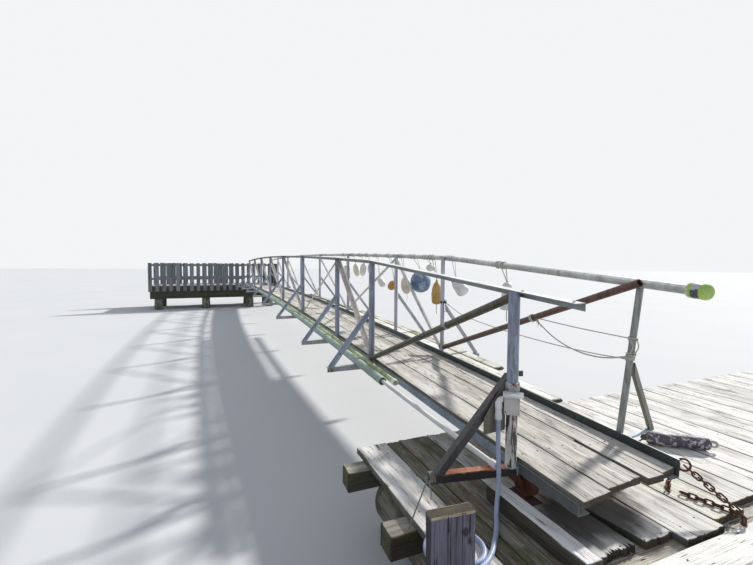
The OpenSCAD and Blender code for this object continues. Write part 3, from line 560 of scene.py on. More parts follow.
def wood(name, grain, pale, mid, dark, brown=(0.23, 0.15, 0.09), browned=0.5, moss=0.0, cracks=1.0,
         moss_colour=(0.095, 0.10, 0.05), stain_and_shadow=None):
    """Weathered timber with its grain along one axis. The mesh gives a number per board, its tone and growth,
    and how near an edge is, 2 for an end. stain_and_shadow is (middle, reach, colour) of a dark patch: a real stain
    or knot, or the painted shadow with wet wood under the gangway's toe."""
    p = Paint(name, roughness=0.88)
    board, edge = p.number("board"), p.number("edge")
    spot = p.shifted(board)

    def grained(lengthwise, across, at=spot, **props):
        return p.noise(p.stretch(tuple(lengthwise if letter == grain else across for letter in "XYZ"), at), **props)

    figure = grained(0.7, 11, detail=3, distortion=0.8)
    grain_lines = grained(3.5, 130, detail=7, roughness=0.72)
    fine = grained(14, 340, detail=2)
    colour = p.ramp(p.blend(figure, grain_lines, 0.32), (0.36, dark), (0.44, mid), (0.54, pale))
    board_tone = p.plus(p.times(p.number("tone"), 0.5), 0.5)
    colour = p.mix(0.9, colour, p.ramp(board_tone, (0.0, 0.45), (0.5, 1.0), (1.0, 1.42)), "MULTIPLY")
    blotch = grained(2.2, 5, detail=4)
    colour = p.mix(0.8, colour, p.ramp(blotch, (0.32, 0.66), (0.5, 1.0), (0.7, 1.15)), "MULTIPLY")
    specks = grained(55, 210, detail=4, roughness=0.8)
    colour = p.mix(p.times(p.mask(specks, 0.61, 0.69), 0.7), colour, shade(dark, 0.6))
    patches = grained(1.6, 6, p.shifted(board, (2.1, 4.2, 8.4)), detail=5, roughness=0.6)
    colour = p.mix(p.times(p.mask(patches, 0.50, 0.66), browned), colour, brown)
    # dark patch: a real stain or knot, or painted shadow and wet wood under the toe
    if stain_and_shadow:
        middle, reach, stain_and_shadow_colour = stain_and_shadow
        away = p.add("VectorMath", operation="LENGTH")
        p.put(away.inputs[0], p.stretch(tuple(1 / r for r in reach), p.shifted(1.0, shade(middle, -1))))
        near = p.plus(away.outputs["Value"], p.times(p.math("SUBTRACT", blotch, 0.5), 1.6))
        colour = p.mix(p.times(p.mask(near, 1.1, 0.6), 0.85), colour, stain_and_shadow_colour)
    # knots with a ring, and cracks that break off
    knots = p.cells(p.stretch(tuple(1.9 if letter == grain else 7.5 for letter in "XYZ"), spot))
    knot_ring = p.times(p.mask(knots, 0.17, 0.11), 0.45)
    knot = p.math("MAXIMUM", p.times(p.mask(knots, 0.11, 0.05), 0.8), knot_ring)
    colour = p.mix(knot, colour, shade(brown, 0.5))
    line = p.math("ABSOLUTE", p.math("SUBTRACT", grained(0.9, 42, detail=2), 0.5))
    broken = p.mask(grained(4, 9, p.shifted(board, (3, 2, 9))), 0.46, 0.58)
    crack = p.times(p.times(p.mask(line, 0.016, 0.004), broken), cracks, clamp=True)
    colour = p.mix(crack, colour, shade(dark, 0.25))
    # grime and painted shade at the edges and in the seams, dark end grain that is partly painted shade, and growth
    colour = p.mix(p.times(p.mask(edge, 0.62, 1.0), 0.82), colour, shade(dark, 0.35))
    end_tone = p.noise(p.place, 120, detail=5, roughness=0.7)
    end_grain_and_shade = p.ramp(end_tone, (0.38, (0.018, 0.015, 0.012)), (0.62, (0.10, 0.08, 0.055)))
    colour = p.mix(p.times(p.mask(edge, 1.45, 1.95), 0.93), colour, end_grain_and_shade)
    growth = p.plus(grained(3, 8, detail=6, roughness=0.65), p.times(p.math("MINIMUM", edge, 1.0), 0.12))
    growth = p.plus(growth, p.times(p.number("growth"), 0.3))
    low = 0.70 - 0.2 * moss
    moss_tone = p.ramp(fine, (0.35, shade(moss_colour, 0.6)), (0.65, shade(moss_colour, 1.5)))
    colour = p.mix(p.times(p.mask(growth, low, low + 0.14), 0.85), colour, moss_tone)
    return p.finish(colour, p.math("SUBTRACT", p.blend(grain_lines, fine, 0.7), p.times(crack, 1.2)), 0.8, 0.0035)


def steel(name, base, rust=0.5, green=0.0, dirt_colour=(0.16, 0.155, 0.13), zones=(), top=None, painted_top_under_zones=False):
    """Silver-painted steel with streaks, dirt and rust that breaks through. zones are ({axis: (low, high)}, colour,
    rust, dark colour of the streaks or None) of parts that differ, some in real colour and some in painted shade.
    top is a painted highlight: a lighter colour for the faces that look up, as if lit from above; it lies under the
    zones with painted_top_under_zones."""
    metallic, roughness = 0.25, 0.42
    p = Paint(name, roughness=roughness, metallic=metallic)
    tone = p.blend(p.noise(p.place, 3.5, detail=5), p.noise(p.stretch((26, 26, 2.2)), detail=4), 0.6)

    def shades(paint_colour):
        light = tuple(min(1, c * 1.2) for c in paint_colour)
        return p.ramp(tone, (0.32, shade(paint_colour, 0.58)), (0.52, paint_colour), (0.70, light))

    # painted highlight: faces that look up get the lighter top colour, as if lit from above
    def paint_lit_top(colour):
        return p.mix(p.mask(p.axis(2, "Normal"), 0.35, 0.6), colour, shades(top))

    colour = shades(base)
    if top and painted_top_under_zones:
        colour = paint_lit_top(colour)
    more_rust = 0.0
    long_streak = p.noise(p.stretch((44, 44, 7.0)), detail=7, roughness=0.72, distortion=0.4)
    for limits, zone_colour, zone_rust, streaks in zones:
        share = 1.0
        for which, (low, high) in limits.items():
            where = p.plus(p.axis(which), p.times(p.math("SUBTRACT", p.noise(p.place, 20), 0.5), 0.03))
            inside = p.times(p.mask(where, low - 0.004, low + 0.004), p.mask(where, high + 0.004, high - 0.004))
            share = p.times(share, inside)
        zone = shades(zone_colour)
        if streaks:
            zone = p.mix(p.mask(long_streak, 0.54, 0.46), zone, streaks)
        colour = p.mix(share, colour, zone)
        more_rust = p.plus(more_rust, p.times(share, zone_rust))
    if top and not painted_top_under_zones:
        colour = paint_lit_top(colour)
    dirt = p.mask(p.noise(p.stretch((9, 9, 3)), detail=6, roughness=0.7), 0.52, 0.72)
    colour = p.mix(p.times(dirt, 0.6), colour, dirt_colour)
    if green:
        slime = p.mask(p.noise(p.place, 5.5, detail=6, roughness=0.7), 0.60 - 0.25 * green, 0.74 - 0.2 * green)
        colour = p.mix(p.times(slime, 0.8), colour, (0.17, 0.18, 0.09))
    amount = p.blend(p.noise(p.place, 34, detail=8, roughness=0.75), p.noise(p.place, 2.6, detail=3), 0.55)
    rusty = p.mask(p.plus(amount, more_rust), 0.66 - 0.14 * rust, 0.71 - 0.13 * rust)
    rust_cloud = p.noise(p.place, 60, detail=6, roughness=0.7)
    colour = p.mix(rusty, colour, p.ramp(rust_cloud, (0.35, (0.09, 0.03, 0.018)), (0.6, (0.30, 0.11, 0.045))))
    height = p.blend(p.noise(p.place, 140, detail=3), rusty, 0.3)
    return p.finish(colour, height, 0.35, 0.0012, Roughness=p.plus(p.times(rusty, 0.4), roughness + 0.02, clamp=True),
                    Metallic=p.times(p.math("SUBTRACT", 1.0, rusty), metallic))


def heavy_rust(name, light, dark):
    p = Paint(name, roughness=0.86, metallic=0.1)
    flakes = p.noise(p.place, 46, detail=8, roughness=0.72)
    tone = p.blend(flakes, p.noise(p.place, 9, detail=4), 0.6)
    between = tuple((a + b) / 2 for a, b in zip(light, dark))
    colour = p.ramp(tone, (0.34, dark), (0.50, between), (0.66, light))
    return p.finish(colour, p.plus(flakes, p.times(p.cells(p.place, 120), 0.4)), 0.8, 0.002)


def plastic(name, base, dirt=0.4, roughness=0.5, spots=0.0, spot_colour=None, dirt_colour=(0.22, 0.20, 0.13),
            spot_scale=30):
    """Plastic with a cloudy tone and dirt; spots is how much of it is worn to the spot colour."""
    p = Paint(name, roughness=roughness)
    cloud = p.noise(p.place, 7, detail=5, roughness=0.6)
    light = tuple(min(1, c * 1.10) for c in base)
    colour = p.ramp(cloud, (0.32, shade(base, 0.72)), (0.56, base), (0.75, light))
    grime = p.mask(p.noise(p.place, 22, detail=8, roughness=0.75), 0.62 - 0.2 * dirt, 0.78 - 0.12 * dirt)
    colour = p.mix(p.times(grime, 0.7), colour, dirt_colour)
    if spots:
        worn = p.mask(p.noise(p.place, spot_scale, detail=6, roughness=0.7), 0.68 - 0.2 * spots, 0.72 - 0.2 * spots)
        colour = p.mix(worn, colour, spot_colour)
    height = p.plus(p.times(cloud, 0.5), p.times(p.noise(p.place, 90, detail=4), 0.3))
    return p.finish(colour, height, 0.2, 0.002, Roughness=p.plus(p.times(grime, 0.3), roughness, clamp=True))


def fibre(name, base, dirt=0.4):
    """Rope: fine hairs and dirt between the strands."""
    p = Paint(name, roughness=0.95)
    hairs = p.noise(p.place, 260, detail=5, roughness=0.7)
    colour = p.ramp(hairs, (0.35, shade(base, 0.45)), (0.6, base))
    soiled = p.mask(p.noise(p.place, 14, detail=4), 0.45, 0.7)
    colour = p.mix(p.times(soiled, dirt), colour, shade(base, 0.45))
    return p.finish(colour, hairs, 0.8, 0.002)


TAN = (0.42, 0.33, 0.24)
GREY_STAINED = ((0.42, 0.44, 0.47), (0.28, 0.30, 0.33), (0.12, 0.13, 0.145))
# painted shadow of the gangway's toe on the float boards, with some wet wood: a near-black patch under the toe
TOE_SHADOW_AND_WET = ((-0.235, 0.100, 0.593), (0.290, 0.46, 0.10), (0.022, 0.020, 0.021))
WORN_BY_CHAIN = ((-0.36, -0.33, 0.600), (0.15, 0.16, 0.3), (0.55, 0.33, 0.27))
PLANK_KNOT = ((-0.491, 1.110, 0.905), (0.03, 0.017, 0.024), (0.02, 0.016, 0.02))
# the first frame of posts and outriggers, its left side, and the underside of its outrigger
NEAR = {0: (-0.2, 0.5)}
NEAR_LEFT = {**NEAR, 1: (0.43, 1.1)}
NEAR_LEFT_UNDER = {**NEAR_LEFT, 2: (0.5, stub_top(0) - 0.0055)}
MATERIALS = {
    "deck": wood("deck_wood", "X", (0.74, 0.715, 0.665), (0.54, 0.51, 0.45), (0.17, 0.15, 0.12), brown=TAN,
                 browned=0.35, moss=0.15),
    "plank": wood("side_plank_wood", "X", (0.86, 0.85, 0.80), (0.62, 0.60, 0.52), (0.18, 0.17, 0.13), brown=TAN,
                  browned=0.2, moss=0.35, moss_colour=(0.26, 0.25, 0.10)),
    "float": wood("float_wood", "X", (0.84, 0.82, 0.785), (0.66, 0.64, 0.60), (0.17, 0.16, 0.14), brown=TAN,
                  browned=0.25, moss=0.05, stain_and_shadow=TOE_SHADOW_AND_WET),
    "stained": wood("stained_float_wood", "X", (0.80, 0.78, 0.70), (0.60, 0.57, 0.48), (0.16, 0.15, 0.11),
                    brown=(0.40, 0.24, 0.18), browned=0.45, moss=0.2, moss_colour=(0.30, 0.31, 0.13),
                    stain_and_shadow=WORN_BY_CHAIN),
    "walk": wood("walkway_wood", "Y", (0.86, 0.85, 0.82), (0.72, 0.70, 0.67), (0.24, 0.225, 0.20), browned=0.08),
    # very dark: moss and wet on the inner platform boards, and painted shade where the gangway's shadow lies on them
    "platform": wood("platform_wood", "X", (0.40, 0.37, 0.31), (0.15, 0.135, 0.105), (0.03, 0.028, 0.022),
                     browned=0.5, moss=0.2, stain_and_shadow=TOE_SHADOW_AND_WET),
    "bearer": wood("bearer_wood", "Y", (0.62, 0.59, 0.52), (0.36, 0.33, 0.27), (0.07, 0.06, 0.05), moss=0.4),
    "bearer_x": wood("bearer_wood_x", "X", (0.42, 0.39, 0.34), (0.22, 0.20, 0.165), (0.06, 0.055, 0.045),
                     browned=0.6, moss=0.5),
    "post": wood("post_wood", "Z", (0.18, 0.175, 0.24), (0.105, 0.10, 0.145), (0.028, 0.025, 0.036), browned=0.1,
                 cracks=2.2, stain_and_shadow=PLANK_KNOT),
    "post_top": wood("post_top_wood", "Y", (0.62, 0.55, 0.42), (0.46, 0.40, 0.30), (0.18, 0.15, 0.10), browned=0.3),
    "curb": wood("curb_wood", "X", (0.88, 0.87, 0.86), (0.72, 0.70, 0.68), (0.24, 0.22, 0.18), browned=0.15,
                 moss=0.15),
    "log": wood("log_wood", "X", (0.36, 0.34, 0.29), (0.20, 0.19, 0.15), (0.06, 0.06, 0.045), moss=0.9),
    "pile": wood("pile_wood", "Z", (0.40, 0.42, 0.37), (0.24, 0.26, 0.21), (0.09, 0.10, 0.08), browned=0.25,
                 moss=0.7),
    "picket": wood("picket_wood", "Z", *GREY_STAINED, browned=0.3),
    "rail_wood": wood("rail_wood", "Y", *GREY_STAINED, browned=0.3),
    "rail_wood_x": wood("rail_wood_x", "X", *GREY_STAINED, browned=0.3),
    "pier_x": wood("pier_wood_x", "X", (0.48, 0.46, 0.42), (0.30, 0.285, 0.25), (0.10, 0.09, 0.075), browned=0.4,
                   moss=0.3),
    "pier_y": wood("pier_wood_y", "Y", (0.46, 0.44, 0.40), (0.28, 0.265, 0.23), (0.10, 0.09, 0.075), browned=0.4,
                   moss=0.3),
    "silver": steel("silver_paint", (0.52, 0.55, 0.60), rust=0.35),
    "posts_left": steel("left_post_paint", (0.46, 0.50, 0.60), rust=0.35, zones=[
        # the near post is painted darker and bluer as painted shade; its dark streaks and the worn pale paint below are
        # real
        (NEAR, (0.33, 0.38, 0.52), 0.0, (0.22, 0.24, 0.31)),
        ({**NEAR, 2: (0.5, 1.16)}, (0.74, 0.75, 0.74), 0.01, (0.085, 0.075, 0.07))]),
    "posts_right": steel("right_post_paint", (0.46, 0.46, 0.55), rust=0.4, zones=[
        (NEAR, (0.33, 0.36, 0.36), 0.0, (0.22, 0.24, 0.22))]),
    # painted highlight on the faces that look up, except on the near brace, which is painted almost black as painted
    # shade
    "braces_left": steel("left_brace_paint", (0.42, 0.46, 0.56), rust=0.3, top=(0.62, 0.66, 0.74), painted_top_under_zones=True,
                         zones=[(NEAR, (0.085, 0.083, 0.09), 0.0, (0.055, 0.054, 0.058))]),
    # painted highlight on the faces that look up
    "braces_right": steel("right_brace_paint", (0.44, 0.47, 0.53), rust=0.3, green=0.1, top=(0.66, 0.68, 0.68),
                          zones=[(NEAR, (0.20, 0.21, 0.17), 0.0, None)]),
    "transoms": steel("outrigger_paint", (0.50, 0.53, 0.57), rust=0.5, zones=[
        (NEAR_LEFT, (0.62, 0.25, 0.12), 0.0, (0.34, 0.13, 0.07)),
        # painted shade: the faces below the near left outrigger's top are painted nearly black
        (NEAR_LEFT_UNDER, (0.035, 0.03, 0.03), -0.2, None),
        ({**NEAR, 1: (-1.1, -0.4)}, (0.36, 0.44, 0.52), 0.0, None)]),
    # painted highlight on the faces that look up; below them the end in front of the first frame is painted nearly
    # black as painted shade
    "chord_left": steel("chord_left_paint", (0.30, 0.37, 0.46), rust=0.35, green=0.1, top=(0.50, 0.54, 0.58),
                        zones=[({0: (-0.6, -0.03)}, (0.13, 0.14, 0.14), 0.0, None)]),
    # painted shade: the right chord is painted nearly black, darkest in its near part, under a painted highlight on the
    # faces that look up
    "chord_right": steel("chord_right_paint", (0.10, 0.125, 0.125), rust=0.25, green=0.2, top=(0.52, 0.56, 0.60),
                         zones=[({0: (-0.6, 2.6)}, (0.048, 0.060, 0.060), 0.0, None)]),
    # painted highlight on the faces of both rails that look up; the left rail's sides are painted dark as painted shade
    "rail_left": steel("rail_paint_painted_shade_and_highlight", (0.28, 0.305, 0.31), rust=0.2, top=(0.92, 0.92, 0.90)),
    "rail_right": steel("galvanised_pipe", (0.56, 0.58, 0.56), rust=0.2, green=0.12, top=(0.92, 0.92, 0.88)),
    "mossy_pipe": steel("mossy_pipe", (0.80, 0.74, 0.70), rust=0.45, zones=[
        ({0: (-0.5, 2.26)}, (0.062, 0.054, 0.040), 0.0, (0.10, 0.095, 0.06))]),
    "rusty_pipe": steel("rusty_pipe", (0.64, 0.64, 0.63), rust=0.4, green=0.1, zones=[
        ({0: (-0.5, 0.75)}, (0.17, 0.085, 0.07), -0.05, (0.085, 0.05, 0.042)),
        ({0: (0.75, 2.26)}, (0.075, 0.058, 0.045), -0.05, (0.15, 0.075, 0.06))]),
    "gusset": steel("gusset_plate", (0.21, 0.20, 0.185), rust=0.42, green=0.1, dirt_colour=(0.07, 0.06, 0.05)),
    "zinc": steel("zinc_hardware", (0.45, 0.47, 0.50), rust=0.8),
    "bright_zinc": steel("bright_zinc", (0.72, 0.73, 0.74), rust=0.3),
    "rust": heavy_rust("heavy_rust", (0.26, 0.10, 0.055), (0.05, 0.024, 0.02)),
    "chain_rust": heavy_rust("chain_rust", (0.19, 0.07, 0.045), (0.03, 0.017, 0.015)),
    "plate_rust": heavy_rust("plate_rust", (0.17, 0.085, 0.075), (0.035, 0.024, 0.024)),
    "black_iron": heavy_rust("black_iron", (0.10, 0.08, 0.07), (0.025, 0.022, 0.02)),
    "pipe": plastic("green_pipe", (0.46, 0.58, 0.50), dirt=0.6, dirt_colour=(0.12, 0.17, 0.10)),
    "pipe_yellow": plastic("yellow_green_pipe", (0.58, 0.64, 0.34), dirt=0.6, dirt_colour=(0.20, 0.22, 0.08)),
    "pipe_white": plastic("white_pipe", (0.94, 0.94, 0.91), dirt=0.06),
    "conduit": plastic("conduit_sheath", (0.42, 0.48, 0.66), dirt=0.15, roughness=0.4),
    "box": plastic("box_grey", (0.64, 0.60, 0.585), dirt=0.15),
    "box_lid": plastic("box_lid_grey", (0.90, 0.90, 0.91), dirt=0.12),
    "black": plastic("black_nut", (0.05, 0.05, 0.05), dirt=0.2),
    "white": plastic("float_white", (0.97, 0.96, 0.94), dirt=0.08),
    "cream": plastic("float_cream", (0.96, 0.88, 0.70), dirt=0.12),
    "orange": plastic("float_orange", (0.66, 0.34, 0.10), dirt=0.35),
    "ochre": plastic("float_ochre", (0.62, 0.40, 0.14), dirt=0.35, spots=0.3, spot_colour=(0.40, 0.26, 0.11)),
    "blue": plastic("float_blue", (0.17, 0.26, 0.42), dirt=0.15, spots=0.75, spot_colour=(0.42, 0.52, 0.64),
                    spot_scale=11),
    "neck": plastic("float_neck", (0.24, 0.15, 0.10)),
    "red": plastic("float_red", (0.66, 0.09, 0.08), dirt=0.25),
    "foam": plastic("pad_foam", (0.60, 0.86, 0.24), dirt=0.1, roughness=0.8, spots=0.35,
                    spot_colour=(0.86, 0.92, 0.74), spot_scale=26),
    "tape": plastic("pad_tape", (0.10, 0.11, 0.12), dirt=0.2, roughness=0.35, spots=0.5,
                    spot_colour=(0.35, 0.36, 0.38)),
    # painted highlight: a pale colour for the top of the black tape
    "tape_painted_highlight": plastic("pad_tape_painted_highlight", (0.74, 0.75, 0.76), dirt=0.25, roughness=0.4),
    "vinyl": plastic("fender_vinyl", (0.085, 0.075, 0.12), dirt=0.7, dirt_colour=(0.16, 0.12, 0.10), spots=0.80,
                     spot_colour=(0.60, 0.57, 0.54), spot_scale=26),
    "vinyl_eye": plastic("fender_eye", (0.55, 0.54, 0.55)),
    "rope": fibre("rope_white", (0.80, 0.78, 0.70)),
    "rope_grey": fibre("rope_grey", (0.42, 0.41, 0.37)),
    "rope_black": fibre("rope_black", (0.05, 0.05, 0.05)),
    "rope_moss": fibre("rope_moss", (0.17, 0.17, 0.09), dirt=0.7),
}

# The CAD nodes that keep their shape get these materials.
for key, nodes in {
    "silver": ("hinge_lugs", "hinge_brackets", "hinge_pins"),
    "posts_left": ("left_posts",),
    "posts_right": ("right_posts",),
    "braces_left": ("left_braces",),
    "braces_right": ("right_braces",),
    "transoms": ("transoms",),
    "chord_left": ("left_chord",),
    "chord_right": ("right_chord",),
    "rail_left": ("left_rail",),
    "rail_right": ("right_rail",),
    "mossy_pipe": ("left_diagonals",),
    "rusty_pipe": ("right_diagonals",),
    "rust": ("toe_roller", "roller_bracket"),
    "chain_rust": ("chain_ring", "mooring_chain"),
}.items():
    for node in nodes:
        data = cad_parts[node].data
        data.materials.clear()
        data.materials.append(MATERIALS[key])

# ---------------------------------------------------------------- cords, along the routes of the CAD


def metres(points):
    return [Vector(p) / 1000 for p in points]


CONDUIT_ROUTE = metres([
    (-5, 557, 1120), (-5, 557, 1060), (-8, 558, 990), (-16, 561, 920), (-27, 566, 850),
    (-37, 573, 780), (-46, 584, 715), (-62, 602, 660), (-93, 630, 624), (-139, 664, 614),
    (-190, 708, 614), (-245, 762, 614), (-300, 819, 614), (-345, 882, 614), (-372, 950, 614),
    (-372, 1022, 614), (-332, 1082, 614), (-271, 1117, 614), (-201, 1122, 614), (-138, 1096, 614),
    (-93, 1046, 614), (-76, 983, 614), (-87, 919, 614), (-125, 868, 614), (-180, 839, 614),
    (-241, 837, 614), (-296, 862, 614), (-330, 907, 614), (-336, 963, 614), (-316, 1014, 614),
    (-272, 1044, 614), (-215, 1048, 614)])
SLACK_ROUTE = metres([
    (40, -495, 1376), (110, -495, 1356), (190, -495, 1342), (275, -495, 1337), (360, -495, 1341), (440, -495, 1354),
    (520, -495, 1374), (600, -496, 1402), (680, -496, 1440), (745, -496, 1480)])
LONG_ROUTE = metres([
    (40, -508, 1368), (180, -508, 1358), (330, -508, 1352), (480, -507, 1350), (640, -506, 1351), (800, -505, 1354),
    (960, -504, 1359), (1120, -502, 1366), (1280, -500, 1375), (1440, -498, 1386), (1600, -496, 1400),
    (1760, -493, 1418), (1910, -490, 1440), (2050, -486, 1481), (2140, -480, 1516)])
CONDUIT_D, SLACK_D, LONG_D = 0.026, 0.010, 0.008
CONDUIT_RIB = 0.0112
PATH_STEP = 0.02


def every(line, step):
    """Fewer points of a line, about step apart, with its two ends."""
    kept, run = [line[0]], 0.0
    for a, b in zip(line, line[1:]):
        run += (b - a).length
        if run >= step:
            kept.append(b)
            run = 0.0
    if kept[-1] is not line[-1]:
        kept.append(line[-1])
    return kept


def state_cord(piece, route, line, d, **rest):
    """Thins the drawn line to points about PATH_STEP apart and measures its length; the result is not kept."""
    path = every(line, PATH_STEP)
    length = sum((b - a).length for a, b in zip(path, path[1:]))
    tuple(route[0])
    [tuple(p) for p in path]


def make_cords():
    fitting = Shape()
    a, b = CONDUIT_ROUTE[-1], xyz(-0.150, 1.0526, 0.618)
    way = (b - a).normalized()
    revolve(fitting, a - way * 0.004, way, [
        (0, 0), (0, 0.0145), (0.002, 0.0165), (0.016, 0.0165), (0.018, 0.0135), (0.022, 0.0135), (0.023, 0.0170),
        (0.039, 0.0170), (0.040, 0.0130), (0.062, 0.0130), (0.064, 0.0115), (0.064, 0.0085), (0.050, 0.0085),
        (0.050, 0)])
    plug = fitting.done("conduit_fitting", "gangway", ["box_lid"], ["conduit_end"], "box_plastic")

    tube = Shape()
    line = smooth_line(CONDUIT_ROUTE, 0.0028)
    sweep(tube, line, lambda s, a: CONDUIT_D / 2 * (0.985 + 0.02 * math.cos(math.tau * s / CONDUIT_RIB)), 16)
    conduit = tube.done("conduit_run", "gangway", ["conduit"], ["conduit"], "conduit_plastic")
    state_cord(conduit, CONDUIT_ROUTE, line, CONDUIT_D, far_end="fitting", stiffness="stiff", lay="loose",
               with_pieces=[plug])

    for name, route, d, node in (("slack_rope_run", SLACK_ROUTE, SLACK_D, "slack_rope"),
                                 ("long_rope_run", LONG_ROUTE, LONG_D, "long_rope")):
        strands = Shape()
        line = rope(strands, route, d * 1.04)
        piece = strands.done(name, "gangway", ["rope"], [node], "old_rope", sharp=80)
        state_cord(piece, route, line, d, far_end="object", stiffness="limp", lay="hanging")


make_cords()

# ---------------------------------------------------------------- boards of the gangway

# width, y of the left side, x of the near end, station of the first joint, tone, growth, slant of the near end
DECK_LINES = [(0.208, 0.417, -0.468, 2, 0.15, 0.0, 0.09), (0.190, 0.201, -0.430, 4, 0.12, 0.0, 0.06),
              (0.100, -0.030, -0.370, 3, 0.0, 0.25, 0.02), (0.127, -0.158, -0.395, 5, 0.15, 0.0, -0.05),
              (0.127, -0.290, -0.385, 2, 0.2, 0.1, 0.12)]
JOINT_EVERY, DOUBLED_LINES = 3, 2
LOWER_T, UPPER_T, LOWER_BOTTOM, LOWER_BACK = 0.044, 0.038, -0.104, 0.080
HAIR = 0.00002
OLD_STRIPS = [(0.0085, 0.036, -0.045, 301), (-0.1325, 0.023, 0.075, 302)]


def fine_near(s):
    """Spacing of a board's rings: close at the toe, where it is seen from near."""
    return 0.05 if s < 1.5 else 0.10 if s < 4 else 0.30


def deck_frame(y_left, low):
    return lambda s, u, v: xyz(s, y_left - u, chord_z(s) + low + v)


def make_gangway_boards():
    shape = Shape()
    rng = random.Random(11)
    for i, (w, y, near, first, tone, growth, slant) in enumerate(DECK_LINES):
        cuts = [near] + STATIONS[first:-1:JOINT_EVERY] + [GANGWAY_END]
        doubled = i < DOUBLED_LINES
        layers = [(LOWER_BOTTOM + HAIR, LOWER_T - HAIR, LOWER_BACK if doubled else 0.0)]
        if doubled:
            layers.append((LOWER_BOTTOM + LOWER_T + HAIR, UPPER_T, 0.0))
        for layer, (low, thick, back) in enumerate(layers):
            shaded = 0.3 if layer == 0 and doubled else 0
            for k, (x0, x1) in enumerate(zip(cuts, cuts[1:])):
                splits = []
                if k == 0:
                    splits = [(0.37, 0, 0.35, 0.012), (0.71, 0, 0.16, 0.008)] if doubled else [(0.5, 0, 0.25, 0.01)]
                timber(shape, deck_frame(y, low), x0 + (back if k == 0 else 0.002),
                       x1 - (0 if k == len(cuts) - 2 else 0.002), w, thick, 20 * i + 7 * k + 3 * layer + 1,
                       step=fine_near, columns=7 if w > 0.15 else 5, chamfer=0.0032, wear=1.2,
                       ragged=0.003 if k == 0 else 0.002, skew=slant if k == 0 else 0.0,
                       tone=tone + rng.uniform(-0.15, 0.15) - shaded, growth=growth + shaded, stops=STATIONS,
                       splits=splits)
    # strips of old board that fill the wide seams from behind the toe on
    for y, w, x0, seed in OLD_STRIPS:
        timber(shape, deck_frame(y, LOWER_BOTTOM + 0.0002), x0, GANGWAY_END - 0.01, w, LOWER_T - 0.003, seed,
               step=fine_near, columns=2, wear=1.2, ragged=0.02, tone=-0.2, growth=0.4, stops=STATIONS)
    shape.done("gangway_deck", "gangway", ["deck"], ["gangway_boards"], "weathered_boards")

    planks = Shape()
    for seed, x0, x1, y, w, tone, growth in ((401, 0.620, 5.600, -0.482, 0.140, 0.9, 0.0),
                                             (402, 1.520, 9.800, -0.627, 0.138, 0.3, 0.5)):
        timber(planks, deck_frame(y, 0.0003 - OUTRIGGER_DROP), x0, x1, w, 0.0437, seed,
               step=lambda s: 0.10 if s < 3 else 0.3, columns=5, chamfer=0.012, wear=1.8, ragged=0.012, tone=tone,
               growth=growth, stops=STATIONS)
    planks.done("side_planks_worn", "gangway", ["plank"], ["side_planks"], "weathered_boards")


make_gangway_boards()

# ---------------------------------------------------------------- float

# y of the left side, width, x of both ends, tone, growth, raggedness, columns, material, how much the left side narrows
LEFT_BOARDS = [(1.050, 0.240, -0.550, 1.010, 0.35, 0.25, 0.010, 7, 0, 0),
               # these two inner boards of platform wood are darker in tone too: moss, and painted shade
               (0.805, 0.098, -0.550, 1.000, -0.2, 0.7, 0.010, 4, 1, 0),
               (0.700, 0.245, -0.550, 1.010, -0.15, 0.6, 0.010, 7, 1, 0),
               (0.448, 0.341, -0.531, 1.020, 0.15, 0.15, 0.035, 38, 0, 0),
               (0.098, 0.262, -0.528, 1.030, 0.2, 0.15, 0.014, 12, 0, 0.055),
               (-0.173, 0.308, -0.600, 1.020, 0.3, 0.1, 0.008, 10, 0, 0)]
FLOAT_BOARD, SEAM, FLOAT_BOARDS = 0.270, 0.006, 16
SHRUNK = 0.005
FLOAT_START = -0.490
FLOAT_SIDES = [FLOAT_START - i * (FLOAT_BOARD + SEAM) for i in range(FLOAT_BOARDS)]
FLOAT_RIGHT = FLOAT_START - FLOAT_BOARDS * (FLOAT_BOARD + SEAM)
FLOAT_NEAR, FLOAT_FAR = -0.550, 1.200
WALK_PLANK, WALK_LEFT = 0.272, 2.100
WALK_PLANKS = [FLOAT_NEAR - 0.070 - (i + 1) * WALK_PLANK for i in range(5)]
WALK_NEAR = WALK_PLANKS[-1]
UNDER_BOARD, BEARER_H, BEARER_W = 0.555, 0.140, 0.145
UNDER_BEARER = UNDER_BOARD - BEARER_H
LOG_R, OUTER_LOG = 0.230, 1.900
LOG_SIDES = [0.700, 0.0, -1.200, -2.400, -3.600, -4.650]
# x, width and left end of the bearers that lie across
BEARERS = [(0.740, BEARER_W, 1.210), (0.045, BEARER_W, 1.210), (1.040, BEARER_W, -0.490), (-0.610, 0.175, 1.335)]


